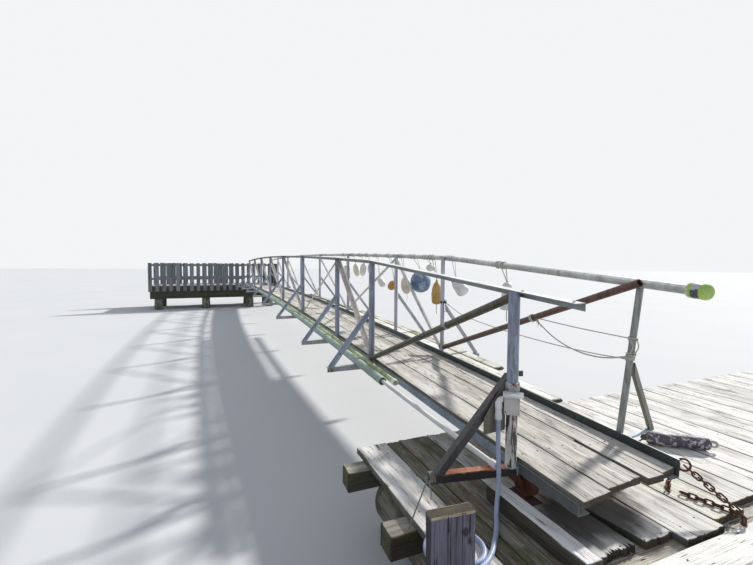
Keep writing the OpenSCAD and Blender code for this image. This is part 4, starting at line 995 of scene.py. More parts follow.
def make_float_boards():
    shape = Shape()
    rng = random.Random(5)
    for i, (y, w, near, far, tone, growth, rough, columns, kind, narrows) in enumerate(LEFT_BOARDS):
        splits = [(rng.uniform(0.25, 0.75), 0, rng.uniform(0.15, 0.5), 0.014), (rng.uniform(0.2, 0.8), 1, 0.3, 0.012)]

        def place(s, u, v, y=y, w=w, narrows=narrows):
            lost = narrows * min(1.0, max(0.0, (-0.02 - s) / 0.45)) ** 1.4
            return xyz(s, y - w + u * (1 - lost / w), UNDER_BOARD + v)

        timber(shape, place, near, far, w, PLANK_T, 501 + i, kind=kind, step=0.05, columns=columns, chamfer=0.0035,
               wear=1.5, ragged=rough, tone=tone, growth=growth, splits=splits)
    for i, y in enumerate(FLOAT_SIDES):
        splits = [(rng.uniform(0.2, 0.8), rng.randrange(2), rng.uniform(0.2, 0.6), 0.010)]
        timber(shape, box_frame("X", (0, y - FLOAT_BOARD + SHRUNK / 2, UNDER_BOARD)),
               FLOAT_NEAR + (i * 5 % 7) * 0.012, FLOAT_FAR, FLOAT_BOARD - SHRUNK, PLANK_T, 521 + i,
               kind=0 if i else 2, step=0.07, columns=8, chamfer=0.0035, wear=1.3, ragged=0.009,
               tone=rng.uniform(0.2, 0.6), growth=0.0 if i else 0.35, splits=splits)
    shape.done("float_deck_boards", "float", ["float", "platform", "stained"], ["float_boards"], "weathered_boards")

    walk = Shape()
    for i, x in enumerate(WALK_PLANKS):
        cut = -3.0 if i % 2 else -1.5
        for part, (y0, y1) in enumerate(((FLOAT_RIGHT, cut - 0.002), (cut + 0.002, WALK_LEFT))):
            timber(walk, box_frame("Y", (x, 0, UNDER_BOARD)), y0, y1, WALK_PLANK - SEAM, PLANK_T, 561 + 2 * i + part,
                   step=0.09, columns=6, wear=1.3, ragged=0.006, tone=rng.uniform(0.1, 0.4))
    walk.done("walkway_deck", "float", ["walk"], ["walkway_planks"], "weathered_boards")

    under = Shape()
    for k, (x, w, left) in enumerate(BEARERS):
        # painted light: the near bearer, which lies in the sun, gets a paler tone and no growth
        painted_sunlit = k == 3
        timber(under, box_frame("Y", (x, 0, UNDER_BEARER)), FLOAT_RIGHT + 0.030, left, w, BEARER_H, 581 + k,
               step=0.15, columns=5, chamfer=0.006, wear=1.8, ragged=0.012, tone=0.5 if painted_sunlit else 0.0,
               growth=0.0 if painted_sunlit else 0.3)
    for k, y in enumerate([OUTER_LOG] + LOG_SIDES):
        timber(under, box_frame("X", (0, y - BEARER_W / 2, UNDER_BEARER)), WALK_NEAR + 0.030, FLOAT_NEAR - 0.062,
               BEARER_W, BEARER_H, 591 + k, kind=1, step=0.15, columns=3, chamfer=0.008, wear=2.0, ragged=0.012)
    under.done("float_under_timbers", "float", ["bearer", "bearer_x"], ["float_bearers"], "bearer_timber")

    curb = Shape()
    timber(curb, box_frame("X", (0, 0.470, FLOAT_DECK)), -0.620, 0.080, 0.095, 0.100, 611, step=0.04, columns=5,
           chamfer=0.005, wear=1.6, tone=0.3, splits=[(0.45, 0, 0.35, 0.010), (0.7, 0, 0.15, 0.008)])
    # the curb's sides below its top take the dark platform wood: moss, and painted shade against the pale top
    curb.recolour(1, lambda heights: sum(heights) / len(heights) < FLOAT_DECK + 0.090)
    curb.done("curb_timber", "float", ["curb", "platform"], ["curb"], "weathered_boards")


make_float_boards()


def make_mooring_post():
    """The sawn plank that stands beside the walkway: weathered faces, a pale sawn top and a knot."""
    turn = math.radians(-9)
    length = xyz(math.cos(turn), math.sin(turn), 0)
    across = xyz(-math.sin(turn), math.cos(turn), 0)
    corner = xyz(FLOAT_NEAR + 0.052, 1.066, UNDER_BOARD)
    width, thick, height = 0.197, 0.063, 0.440

    def place(s, u, v):
        """The top slopes across the width and is level lengthwise."""
        slope = 0.010 * (u / width - 0.5) if s > 0.3 else 0
        lost = max(0.0, s - 0.43)
        return corner + UP * (s - lost - max(0, s - 0.3) / 0.14 * slope) + across * u + length * (thick - v)

    shape = Shape()
    timber(shape, place, 0, height, width, thick, 621, step=0.022, columns=9, wear=1.6, ragged=0.004, tone=0.1,
           splits=[(0.30, 1, 0.26, 0.010), (0.62, 1, 0.18, 0.008), (0.85, 0, 0.3, 0.006)])
    top_z = max(p.z for p in shape.verts) - 0.02
    shape.recolour(1, lambda heights: min(heights) > top_z)
    shape.done("mooring_plank", "float", ["post", "post_top"], ["mooring_post"], "post_wood")


make_mooring_post()


def make_log(shape, axis, centre, r, a, b, floor_z, roof_z, seed, taper=0.0):
    """Log along X or Z with swellings, knots and end rings, cut level at floor_z and roof_z."""
    sides, rows = 30, max(6, round((b - a) / 0.11))
    verts, edge = [], []
    for i in range(rows + 1):
        s = a + (b - a) * i / rows
        for k in range(sides):
            angle = math.tau * k / sides
            c, t = math.cos(angle), math.sin(angle)
            reach = r * (1 + taper * (i / rows - 0.5) + 0.020 * noise.noise(xyz(s * 1.6, c * 1.3 + seed, t * 1.3))
                         + 0.012 * noise.noise(xyz(s * 6, c * 5, t * 5 + seed)) - 0.016)
            if axis == "X":
                p = xyz(s, centre[0] + reach * c, min(max(centre[1] + reach * t, floor_z), roof_z))
            else:
                p = xyz(centre[0] + reach * c, centre[1] + reach * t, s)
            verts.append(p)
            edge.append(1.0 if i in (0, rows) else 0.0)
    faces = tube_faces(rows, sides, capped=False)
    for base in (0, rows * sides):
        middle = sum((verts[base + k] for k in range(sides)), Vector()) / sides
        faces += [(base + k, base + (k + 1) % sides, len(verts)) for k in range(sides)]
        verts.append(middle)
        edge.append(0.2)
    shape.add(verts, faces, 0, edge, board=seed * 1.0, growth=0.3)


def make_logs():
    shape = Shape()
    rows = [(y, 0.930 if y >= 0 else 1.120, 631 + k) for k, y in enumerate(LOG_SIDES)]
    for y, far, seed in rows + [(OUTER_LOG, FLOAT_NEAR - 0.100, 639)]:
        make_log(shape, "X", (y, UNDER_BEARER - LOG_R + 0.012), LOG_R, WALK_NEAR + 0.060, far, 0.0, UNDER_BEARER, seed)
    shape.done("float_log_row", "float", ["log"], ["float_logs"], "log_wood", sharp=60)


make_logs()

# ---------------------------------------------------------------- pier head

PILE_SIDES, PILE_R, CAP_IN, CAP_W, STRINGER_W = [-0.450, 0.420, 2.240, 4.060], 0.165, 0.190, 0.290, 0.090
(PIER_X0, PIER_RIGHT, PIER_UNDER), (PIER_X1, PIER_LEFT, PIER_TOP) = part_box("pier_boards")
PICKET_W, PICKET_PITCH, FENCE_RAILS = 0.140, 0.250, (0.820, 0.250)


def make_pier():
    rng = random.Random(3)
    boards = Shape()
    count = math.floor((PIER_LEFT - PIER_RIGHT) / 0.190)
    pitch = (PIER_LEFT - PIER_RIGHT + SEAM) / count
    for i in range(count):
        timber(boards, box_frame("X", (0, PIER_RIGHT + i * pitch, PIER_UNDER)), PIER_X0, PIER_X1, pitch - SEAM,
               PIER_TOP - PIER_UNDER, 701 + i, step=0.2, chamfer=0.005, wear=1.5, ragged=0.006,
               tone=rng.uniform(-0.3, 0.4), growth=rng.uniform(0, 0.5))
    boards.done("pier_deck_boards", "pier", ["pier_x"], ["pier_boards"], "weathered_boards")

    low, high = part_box("pier_stringers")
    stringers = Shape()
    look = {"step": 0.25, "columns": 3, "chamfer": 0.006, "wear": 1.5}
    for k, x in enumerate((PIER_X0, PIER_X1 - STRINGER_W)):
        timber(stringers, box_frame("Y", (x, 0, low[2])), PIER_RIGHT, PIER_LEFT, STRINGER_W, high[2] - low[2],
               741 + k, ragged=0.008, growth=0.2, **look)
    for k, y in enumerate([PIER_RIGHT + STRINGER_W / 2, PIER_LEFT - STRINGER_W / 2] + PILE_SIDES):
        timber(stringers, box_frame("X", (0, y - STRINGER_W / 2, low[2])), PIER_X0 + STRINGER_W,
               PIER_X1 - STRINGER_W, STRINGER_W, high[2] - low[2], 745 + k, kind=1, ragged=0.0, **look)
    stringers.done("pier_stringer_frame", "pier", ["pier_y", "pier_x"], ["pier_stringers"], "bearer_timber")

    caps, piles = Shape(), Shape()
    low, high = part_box("pier_caps")
    pile_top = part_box("pier_piles")[1][2]
    for k, x in enumerate((PIER_X0 + CAP_IN, PIER_X1 - CAP_IN)):
        timber(caps, box_frame("Y", (x - CAP_W / 2, 0, low[2])), low[1], high[1], CAP_W, high[2] - low[2], 761 + k,
               step=0.2, chamfer=0.010, wear=2.2, ragged=0.012, growth=0.3)
        for i, y in enumerate(PILE_SIDES):
            make_log(piles, "Z", (x, y), PILE_R, 0.0, pile_top, 0, 9, 771 + len(PILE_SIDES) * k + i, taper=-0.08)
    caps.done("pier_cap_timbers", "pier", ["pier_y"], ["pier_caps"], "bearer_timber")
    piles.done("pier_pile_row", "pier", ["pile"], ["pier_piles"], "log_wood", sharp=60)

    def fence(name, node, origin, turn, length, rail_key):
        shape = Shape()
        c, s = math.cos(turn), math.sin(turn)

        def at(x, y, z):
            return origin + xyz(x * c - y * s, x * s + y * c, z)

        count = math.floor((length + 0.110) / PICKET_PITCH)
        for i in range(count):
            x = i * ((length - PICKET_W) / (count - 1))
            timber(shape, lambda s_, u, v, x=x: at(x + u, -0.025 + v, s_), -0.230, 0.960 + rng.uniform(-0.02, 0.0),
                   PICKET_W, 0.025, 801 + i, step=0.2, chamfer=0.003, wear=1.2, ragged=0.004,
                   tone=rng.uniform(-0.4, 0.4), growth=rng.uniform(0, 0.3))
        for k, z in enumerate(FENCE_RAILS):
            timber(shape, lambda s_, u, v, z=z: at(s_, v, z + u), 0, length, 0.090, 0.040, 841 + k, kind=1, step=0.3,
                   columns=3, wear=1.2)
        for k in range(3):
            x = k * (length - 0.090) / 2
            timber(shape, lambda s_, u, v, x=x: at(x + u, 0.040 + v, s_), 0, 0.920, 0.090, 0.090, 845 + k, step=0.2,
                   columns=3, chamfer=0.006, wear=1.5)
        shape.done(name, "pier", ["picket", rail_key], [node], "picket_wood")

    fence("front_pickets", "front_railing", xyz(PIER_X0, PIER_LEFT, PIER_TOP), -math.pi / 2, PIER_LEFT - 0.640,
          "rail_wood")
    fence("back_pickets", "back_railing", xyz(PIER_X1, PIER_RIGHT, PIER_TOP), math.pi / 2, PIER_LEFT - PIER_RIGHT,
          "rail_wood")
    fence("end_pickets", "end_railing", xyz(PIER_X0, PIER_RIGHT, PIER_TOP), 0.0, (PIER_X1 - PIER_X0) - 0.200,
          "rail_wood_x")


make_pier()

# ---------------------------------------------------------------- pipes, box and fittings

# y, diameter, both ends and material of each pipe
PIPE_RUNS = [(HALF_W + 0.090, 0.050, 1.460, 9.900, 0), (HALF_W + 0.200, 0.076, 1.505, 16.700, 1)]
(THIN_Y, THIN_D, THIN_X), (WIDE_Y, WIDE_D, WIDE_X) = (run[:3] for run in PIPE_RUNS)
STRAP_OFF = 0.060


def run_z(x, d):
    return chord_z(x) - OUTRIGGER_DROP + d / 2 + 0.004


def stops(x0, x1):
    return [x0] + [s for s in STATIONS if x0 + 0.001 < s < x1 - 0.001] + [x1]


def make_pipes():
    shape = Shape()
    for y, d, x0, x1, kind in PIPE_RUNS:
        r = d / 2
        corners = [xyz(x, y, run_z(x, d)) for x in stops(x0, x1)]
        for k, (a, b) in enumerate(zip(corners, corners[1:])):
            way = b - a
            length = way.length
            if kind == 1 and k == 0:
                # the mouth is hollow as deep as it can be seen
                profile = [(0.258, 0), (0.258, 0.030), (0.002, 0.030), (0, 0.032), (0, 0.036), (0.002, 0.038),
                           (length, 0.038), (length, 0)]
            else:
                profile = [(0, 0), (0, r), (length, r), (length, 0)]
            revolve(shape, a, way, profile, 28, kind)
            if k:
                sleeve = [(0, r - 0.001), (0, r + 0.003), (0.003, r + 0.004), (0.087, r + 0.004), (0.090, r + 0.003),
                          (0.090, r - 0.001)]
                revolve(shape, a - way.normalized() * 0.045, way, sleeve, 28, kind, closed=True)
        for x in stops(x0, x1)[1:]:
            if x in STATIONS:
                for strap_x in (x - STRAP_OFF, x + STRAP_OFF):
                    place = xyz(strap_x, y, run_z(strap_x, d)) - xyz(0.009, 0, 0)
                    cuff(shape, place, AHEAD, r - 0.001, r + 0.002, 0.018, kind=3)
    revolve(shape, xyz(THIN_X, THIN_Y, run_z(THIN_X, THIN_D)), xyz(1, 0, 0.03),
            [(0, 0.020), (-0.002, 0.026), (0.004, 0.0285), (0.046, 0.0285), (0.050, 0.024)], 28, 2, closed=True)
    # the white pipe from the first outrigger into the wide pipe's mouth, which sags a little
    start = xyz(-0.006, 0.560, stub_top(0) + 0.0175)
    end = xyz(WIDE_X + 0.200, WIDE_Y, run_z(WIDE_X + 0.200, WIDE_D))
    line = [start.lerp(end, k / 40) - UP * (0.006 * math.sin(math.pi * k / 40)) for k in range(41)]
    sweep(shape, line, lambda s, a: 0.017, 20, 2)
    revolve(shape, start, end - start, [(0, 0.012), (0, 0.0205), (0.003, 0.0220), (0.052, 0.0220), (0.056, 0.0195),
                                        (0.056, 0.012)], 24, 2, closed=True)
    shape.done("side_pipe_runs", "gangway", ["pipe_yellow", "pipe", "pipe_white", "zinc"], ["side_pipes"],
               "pale_plastic")


make_pipes()

POST_AXIS = xyz(0, POST_Y, 0)
BOX_Z, BOX_TURN = 1.155, math.radians(139)
SCREW_HEAD = [(0, 0.0045), (0.002, 0.0040), (0.0028, 0.0020), (0.0028, 0)]


def make_switch_box():
    out = xyz(math.cos(BOX_TURN), math.sin(BOX_TURN), 0)
    side = xyz(-out.y, out.x, 0)

    def at(x, y, z):
        return POST_AXIS + out * x + side * y + UP * z

    def slab(x, y, z, sizes, r, kind):
        """Block with its corner at x, y, z of the box, y being the middle of its width."""
        block(shape, at(x, -y, BOX_Z + z), out * sizes[0], side * sizes[1], UP * sizes[2], r, kind)

    shape = Shape()
    slab(0.0345, 0.042, 0, (0.060, 0.084, 0.1045), 0.007, 0)
    slab(0.0345, 0.030, 0.010, (0.0625, 0.060, 0.084), 0.003, 0)
    slab(0.0260, 0.050, 0.1045, (0.0825, 0.110, 0.0125), 0.004, 1)
    for y in (-0.036, 0.036):
        for z in (0.018, 0.088):
            revolve(shape, at(0.0940, y, BOX_Z + z), out, SCREW_HEAD, 12, 3)
    # back plate and clamp bands round the post
    slab(0.0325, 0.020, 0.008, (0.003, 0.040, 0.088), 0.001, 3)
    collar = [(0, 0.0320), (0, 0.0400), (0.004, 0.0420), (0.030, 0.0400), (0.040, 0.0415), (0.048, 0.0400),
              (0.050, 0.0340), (0.050, 0.0320)]
    revolve(shape, at(0, 0, 1.2725), UP, collar, 36, 3, closed=True)
    for z in (BOX_Z + 0.020, BOX_Z + 0.078):
        cuff(shape, at(0, 0, z), UP, 0.0320, 0.0345, 0.014, 30, 3)
        bolt(shape, at(-0.0345, 0.0, z + 0.007), -out + side * 0.2, 0.006, 3)
    # elbow, its nut and the sleeve that the conduit goes into
    centre = xyz(-0.005, 0.557, BOX_Z + 0.059)
    path = [centre + side * (0.022 - 0.022 * math.cos(a)) + UP * (0.022 * math.sin(a))
            for a in (math.pi / 2 * k / 10 for k in range(11))]
    path = [centre - UP * 0.02, centre - UP * 0.01] + path + [path[-1] + side * 0.006]
    sweep(shape, path, lambda s, a: 0.0158, 22, 1)
    revolve(shape, path[-1] - side * 0.003, side, rounded(0.012, 0.0200, 0.002), 8, 2)
    sleeve = [(0, 0.0132), (0, 0.0185), (0.003, 0.0200), (0.030, 0.0200), (0.033, 0.0180), (0.062, 0.0175),
              (0.065, 0.0200), (0.097, 0.0200), (0.100, 0.0185), (0.100, 0)]
    revolve(shape, xyz(-0.005, 0.557, 1.118), UP, sleeve, 26, 1)
    shape.done("switch_box_set", "gangway", ["box", "box_lid", "black", "zinc"], ["switch_box"], "box_plastic")

    # plate that fills the corner between the post and its brace
    outline = [(0.488, 1.037), (0.636, 1.028), (0.638, 1.120), (0.560, 1.232), (0.500, 1.316), (0.488, 1.316)]
    count = len(outline)
    plate = Shape()
    plate.add([xyz(x, y, z) for x in (0.0205, 0.0245) for y, z in outline],
              [tuple(range(count)), tuple(range(count, 2 * count))] + tube_faces(1, count, capped=False))
    weld(plate, xyz(0.0225, 0.4895, 1.045), xyz(0.0225, 0.4895, 1.310))
    plate.done("brace_gusset", "gangway", ["gusset"], slot="silver_paint")


make_switch_box()

PAD_BULGE = [(0, 0), (0.001, 0.014), (0.004, 0.026), (0.010, 0.036), (0.018, 0.0425), (0.028, 0.0458),
             (0.040, 0.0462), (0.048, 0.0450), (0.054, 0.0415), (0.060, 0.0400), (0.084, 0.0400), (0.090, 0.0412),
             (0.096, 0.0436), (0.104, 0.0446), (0.114, 0.0440), (0.121, 0.0410), (0.125, 0.0350), (0.1245, 0.0290),
             (0.031, 0.0286), (0.031, 0)]
TAPE_TURNS = [(0.052, 0.070), (0.066, 0.083), (0.079, 0.094)]


def make_pad():
    """Foam pad on the rail's end: bright foam that bulges past the tape wound round its middle."""
    a, b = rail_axis(-0.475), rail_axis(-0.350)
    way = b - a
    foam = Shape()
    revolve(foam, a, way, PAD_BULGE, 40, 0, lumps=0.0022, seed=4)
    pad = foam.done("rail_end_pad", "gangway", ["foam"], ["rail_pad"], "pad_foam", sharp=70)
    tape = Shape()
    for k, (s0, s1) in enumerate(TAPE_TURNS):
        lap = 0.0004 * k
        profile = [(s0, 0.0395), (s0, 0.0428 + lap), (s0 + 0.004, 0.0436 + lap), (s1 - 0.004, 0.0436 + lap),
                   (s1, 0.0428), (s1, 0.0395)]
        revolve(tape, a, way, profile, 40, 0, lumps=0.0015, seed=9 + k, closed=True)
    # the tape's top faces take the pale painted highlight
    tape.recolour(1, lambda heights: sum(heights) / len(heights) > a.z + 0.014 + 0.002)
    tape.done("rail_end_tape", "gangway", ["tape", "tape_painted_highlight"], slot="pad_foam", sharp=60)


make_pad()

# ---------------------------------------------------------------- floats hung from the handrail

# x, distance from the rail's axis to the right and drop below it, of the top of each float
HUNG = [(6.240, 0.088, 0.208), (5.640, 0.078, 0.173), (5.240, 0.078, 0.150), (4.880, 0.078, 0.133),
        (4.440, 0.088, 0.398), (3.930, 0.088, 0.402), (3.500, 0.088, 0.300), (3.100, 0.118, 0.189),
        (2.760, 0.078, 0.082), (2.600, 0.078, 0.288), (2.150, 0.108, 0.205), (1.290, 0.078, 0.164)]
LINE_LEFT = xyz(0, 0.002, 0.004)


def drum(h, r):
    return [(0, 0), (0, 0.014), (0.012, 0.016), (0.016, r * 0.55), (0.024, r * 0.86), (0.038, r * 0.97), (0.055, r),
            (h * 0.5, r * 0.985), (h - 0.050, r), (h - 0.030, r * 0.96), (h - 0.014, r * 0.84), (h - 0.004, r * 0.5),
            (h, 0.012), (h, 0)]


def egg(h, r, low=0.0):
    """Egg from its top down; low moves the widest place towards the bottom."""
    points = [(0, 0), (0, 0.010), (0.010, 0.014)]
    for k in range(1, 16):
        a = math.pi * k / 16
        part = 0.5 - 0.5 * math.cos(a)
        points.append((0.010 + (h - 0.010) * part ** (1 + low), max(0.012, r * math.sin(a) ** 0.9)))
    return points + [(h, 0.010), (h, 0)]


def bullet(h, r):
    return [(0, 0), (0, 0.012), (0.02, 0.015), (h * 0.12, r * 0.50), (h * 0.24, r * 0.76), (h * 0.38, r * 0.92),
            (h * 0.55, r), (h * 0.82, r * 0.985), (h * 0.93, r * 0.90), (h * 0.985, r * 0.6), (h, 0.012), (h, 0)]


def bell(h, r):
    """White dome over a bell with a waist and a flared foot."""
    return [(0, 0), (0, 0.012), (0.006, 0.026), (0.020, 0.040), (0.040, 0.046), (0.056, 0.042), (0.066, 0.026),
            (0.074, 0.022), (0.084, 0.030), (0.098, 0.048), (0.130, 0.055), (0.165, 0.056), (0.185, 0.048),
            (0.198, 0.040), (0.212, 0.048), (0.232, r * 0.98), (0.246, r), (0.262, r * 0.96), (h - 0.004, r * 0.72),
            (h, 0.014), (h, 0)]


NECK = [(0, 0), (0, 0.020), (0.006, 0.024), (0.030, 0.030), (0.044, 0.060), (0.049, 0.060), (0.049, 0)]
RED_NOSE = [(0, 0), (0, 0.014), (0.010, 0.022), (0.050, 0.038), (0.092, 0.048), (0.092, 0)]
WHITE_BODY = [(0.088, 0), (0.088, 0.046), (0.096, 0.056), (0.120, 0.064), (0.180, 0.070), (0.238, 0.075),
              (0.256, 0.070), (0.266, 0.052), (0.268, 0.0)]


def make_hung_floats():
    floats, lines = Shape(), Shape()

    def under_rail(x, spread):
        """Place on the underside of the rail, spread to one side of x, where a float's line ends."""
        return rail_axis(x) + xyz(spread, -PIPE_R * 0.9, -PIPE_R * 0.5)

    def hang(i, profile, kind, lean=(0, 0, -1), shift=(0, 0, 0), lumps=0.004, tail=0.0, spread=0.035, wraps=1.3,
             d=0.006):
        x, dist, drop = HUNG[i]
        axis = rail_axis(x)
        head = axis - xyz(0, dist, drop) + Vector(shift)
        way = Vector(lean).normalized()
        revolve(floats, head, way, profile, 36, kind, lumps=lumps, seed=i)
        length = profile[-1][0]
        if tail:
            rope(lines, [head + way * (length - 0.01), head + way * (length + tail * 0.5) + xyz(0.003, 0, 0),
                         head + way * length - UP * tail], d)
        for s in (-spread, spread):
            top = under_rail(x, s)
            rope(lines, [head + way * 0.012, head.lerp(top, 0.5) - LINE_LEFT, top], d)
            coil(lines, axis + xyz(s, 0, rail_z(x + s) - rail_z(x)), AHEAD, -LEFT, PIPE_R + d * 0.45, d, wraps,
                 wraps * d * 1.02)
        ring(lines, head + way * 0.004, AHEAD, 0.011, 0.004, 0, 18, 6)

    hang(0, drum(0.285, 0.074), 0)
    hang(1, egg(0.262, 0.064, 0.2), 1, lean=(-0.42, 0, -0.90), shift=(0.04, 0, 0))
    hang(2, egg(0.262, 0.064, 0.2), 0, lean=(0.42, 0, -0.90), shift=(-0.04, 0, 0))
    hang(3, egg(0.200, 0.055), 0)
    hang(4, drum(0.165, 0.056), 0, lean=(-0.75, -0.1, -0.60), shift=(0.05, 0, 0.0))
    hang(5, egg(0.190, 0.070, 0.35), 2, lean=(0.80, 0.1, -0.45), shift=(-0.06, 0, -0.02))
    hang(6, egg(0.262, 0.074), 1, lean=(-0.28, 0, -0.95), shift=(0.03, 0, 0), tail=0.09)
    hang(7, egg(0.306, 0.141), 3, lumps=0.003, spread=0.05)
    x, dist, drop = HUNG[7]
    revolve(floats, rail_axis(x) - xyz(0, dist, drop - 0.012), -UP, NECK, 30, 4, lumps=0.002, seed=3)
    hang(8, egg(0.100, 0.060), 0)
    hang(9, bullet(0.305, 0.064), 5, tail=0.12, d=0.009)
    # red nose and white body, hung by the middle and tilted
    x, dist, drop = HUNG[10]
    way = xyz(-0.66, -0.16, -0.62).normalized()
    nose = rail_axis(x) - xyz(-0.110, dist - 0.030, drop + 0.010)
    revolve(floats, nose, way, RED_NOSE, 30, 6, lumps=0.003, seed=6)
    revolve(floats, nose, way, WHITE_BODY, 36, 0, lumps=0.004, seed=10)
    for s in (-0.03, 0.03):
        top = under_rail(x, s)
        middle = nose + way * 0.094
        rope(lines, [middle + UP * 0.045, middle.lerp(top, 0.55) - LINE_LEFT, top], 0.006)
        coil(lines, rail_axis(x + s), AHEAD, -LEFT, PIPE_R + 0.0027, 0.006, 1.3, 0.008)
    revolve(lines, nose + way * 0.088, way, [(0, 0.044), (0, 0.0500), (0.006, 0.0520), (0.012, 0.0500), (0.012, 0.044)],
            30, 0, closed=True)
    hang(11, bell(0.272, 0.068), 0, tail=0.11, wraps=4, d=0.009)
    floats.done("hung_floats_set", "gangway", ["white", "cream", "orange", "blue", "neck", "ochre", "red"],
                ["hung_floats"], "float_plastic", sharp=60)
    lines.done("hung_float_lines", "gangway", ["rope"], slot="old_rope", sharp=80)


make_hung_floats()

# ---------------------------------------------------------------- ropes that are tied


def make_guard_ropes():
    shape = Shape()

    def knot_of(middle, ways, r, wire, kind=0, across=8, shift=(0, 0, 0)):
        """Rings about one place that stand for a knot, each turned its own way."""
        for k, way in enumerate(ways):
            ring(shape, middle + Vector(shift) * k, Vector(way), r, wire, kind, 18, across)

    # turns and two twisted parts round the leaning post of the rail's end
    lean = (LEAN_TOP - LEAN_FOOT).normalized()
    coil(shape, lean_at(1.515), lean, AHEAD, LEAN_R + 0.0036, 0.0078, 2.2, 0.024)
    coil(shape, lean_at(1.517), lean + xyz(0.18, -0.25, 0), AHEAD, LEAN_R + 0.0070, 0.0070, 1.1, 0.004)
    for z, tilt, turns, length in ((1.418, (0.10, 0.22, 0), 1.6, 0.022), (1.400, (-0.20, -0.12, 0), 2.2, 0.026),
                                   (1.380, (0.22, -0.16, 0), 1.7, 0.020), (1.396, (-0.05, 0.30, 0), 1.1, 0.004)):
        coil(shape, lean_at(z), lean + Vector(tilt), xyz(1, 0.2, 0), LEAN_R + 0.0046, 0.0078, turns, length)
    for s in (-1, 1):
        rope(shape, [lean_at(1.508) + xyz(-0.010, 0.0275 * s, 0), lean_at(1.465) + xyz(-0.026, 0.0285 * s, 0),
                     lean_at(1.418) + xyz(-0.012, 0.0280 * s, 0)], 0.0072)
    knot_of(lean_at(1.408) + xyz(-0.027, 0, 0.003), ((1, 0.4, 0.2), (0.3, 0.5, 1)), 0.0105, 0.0042, across=7,
            shift=(0, 0.004, 0))
    # the taut rope to the first right diagonal, its turns, its knot and the frayed end
    taut = lean_at(1.515) + xyz(0.026, 0, 0)
    diagonal_a = xyz(-0.100, -0.452, CHORD_LINE[0] + RAIL_H - RAIL_DIP + 0.038)
    diagonal_b = xyz(2.220, -0.452, CHORD_LINE[1] + 0.028)
    slope = (diagonal_b - diagonal_a).normalized()
    knot = diagonal_a.lerp(diagonal_b, (0.810 + 0.100) / 2.320)
    tied = knot + xyz(0, -0.0345, 0)
    rope(shape, [taut, taut.lerp(tied, 0.5) - UP * 0.006, tied], 0.0082)
    coil(shape, knot, slope, -LEFT, 0.026 + 0.0042, 0.0088, 3.1, 0.027)
    lump = knot + xyz(-0.002, -0.043, -0.010)
    knot_of(lump, ((1, 0.3, 0.2), (0.2, 1, 0.6), (0.6, 0.1, 1)), 0.0115, 0.0068)
    rng = random.Random(8)
    for _ in range(11):
        reach = xyz(rng.uniform(-0.03, 0.02), rng.uniform(-0.028, 0.0), -rng.uniform(0.03, 0.07))
        start = lump + xyz(0, -0.006, -0.006)
        halfway = start + reach * 0.4 + xyz(rng.uniform(-0.01, 0.01), 0, 0.006)
        sweep(shape, smooth_line([start, halfway, start + reach], 0.006), lambda s, a: 0.0013, 5)
    # the knots that the two loose ropes start and end in
    for route, head, foot in ((SLACK_ROUTE, 0.052, 0.078), (LONG_ROUTE, 0.062, 0.052)):
        for a, b, length in ((route[0], route[1], head), (route[-1], route[-2], foot)):
            away = (a - b).normalized()
            rope(shape, [a, a + away * length * 0.5, a + away * length], 0.0118)
    band = xyz(STATIONS[1], -HALF_W - POST_LEG / 2, 1.546)
    for lift, turns, length, kind in ((0, 3.6, 0.026, 1), (0.022, 1.2, 0.010, 0)):
        coil(shape, band + UP * lift, UP, xyz(-1, -0.6, 0), 0.0262, 0.0078, turns, length, kind, square=1.0)
    # lashing of the first outrigger's end and the tie down to the float
    top = stub_top(0)
    tip = xyz(0.100, 0.940, top - 0.022)
    out = xyz(math.sin(math.radians(11)), math.cos(math.radians(11)), 0)
    coil(shape, tip - out * 0.012, out, UP, 0.0290, 0.0075, 4.2, 0.036, kind=2)
    knot_of(tip + out * 0.016, ((1, 0.2, 0.3), (0.3, 0.2, 1)), 0.0110, 0.0055, 2, across=6)
    foot = xyz(-0.004, 1.126, FLOAT_DECK + 0.010)
    start = xyz(0.096, 0.952, top - 0.024)
    rope(shape, [start, start.lerp(foot, 0.5) + xyz(0.002, -0.002, 0), foot], 0.0080, 2)
    tail = tip + out * 0.014 - UP * 0.010
    rope(shape, [tail, tail + xyz(-0.030, 0.004, -0.010), tail + xyz(-0.052, 0.004, -0.045),
                 tail + xyz(-0.055, 0.006, -0.085)], 0.0065, 2)
    shape.done("guard_rope_set", "gangway", ["rope", "rope_black", "rope_grey"], ["guard_ropes"], "old_rope", sharp=80)


make_guard_ropes()

# ---------------------------------------------------------------- fender and hardware on the float

FENDER_BODY = [(0.022, 0), (0.022, 0.014), (0.027, 0.020), (0.031, 0.033), (0.038, 0.0425), (0.050, 0.0480),
               (0.066, 0.0498), (0.150, 0.0492), (0.240, 0.0485), (0.330, 0.0492), (0.415, 0.0498), (0.431, 0.0480),
               (0.443, 0.0425), (0.450, 0.033), (0.454, 0.020), (0.459, 0.014), (0.459, 0)]


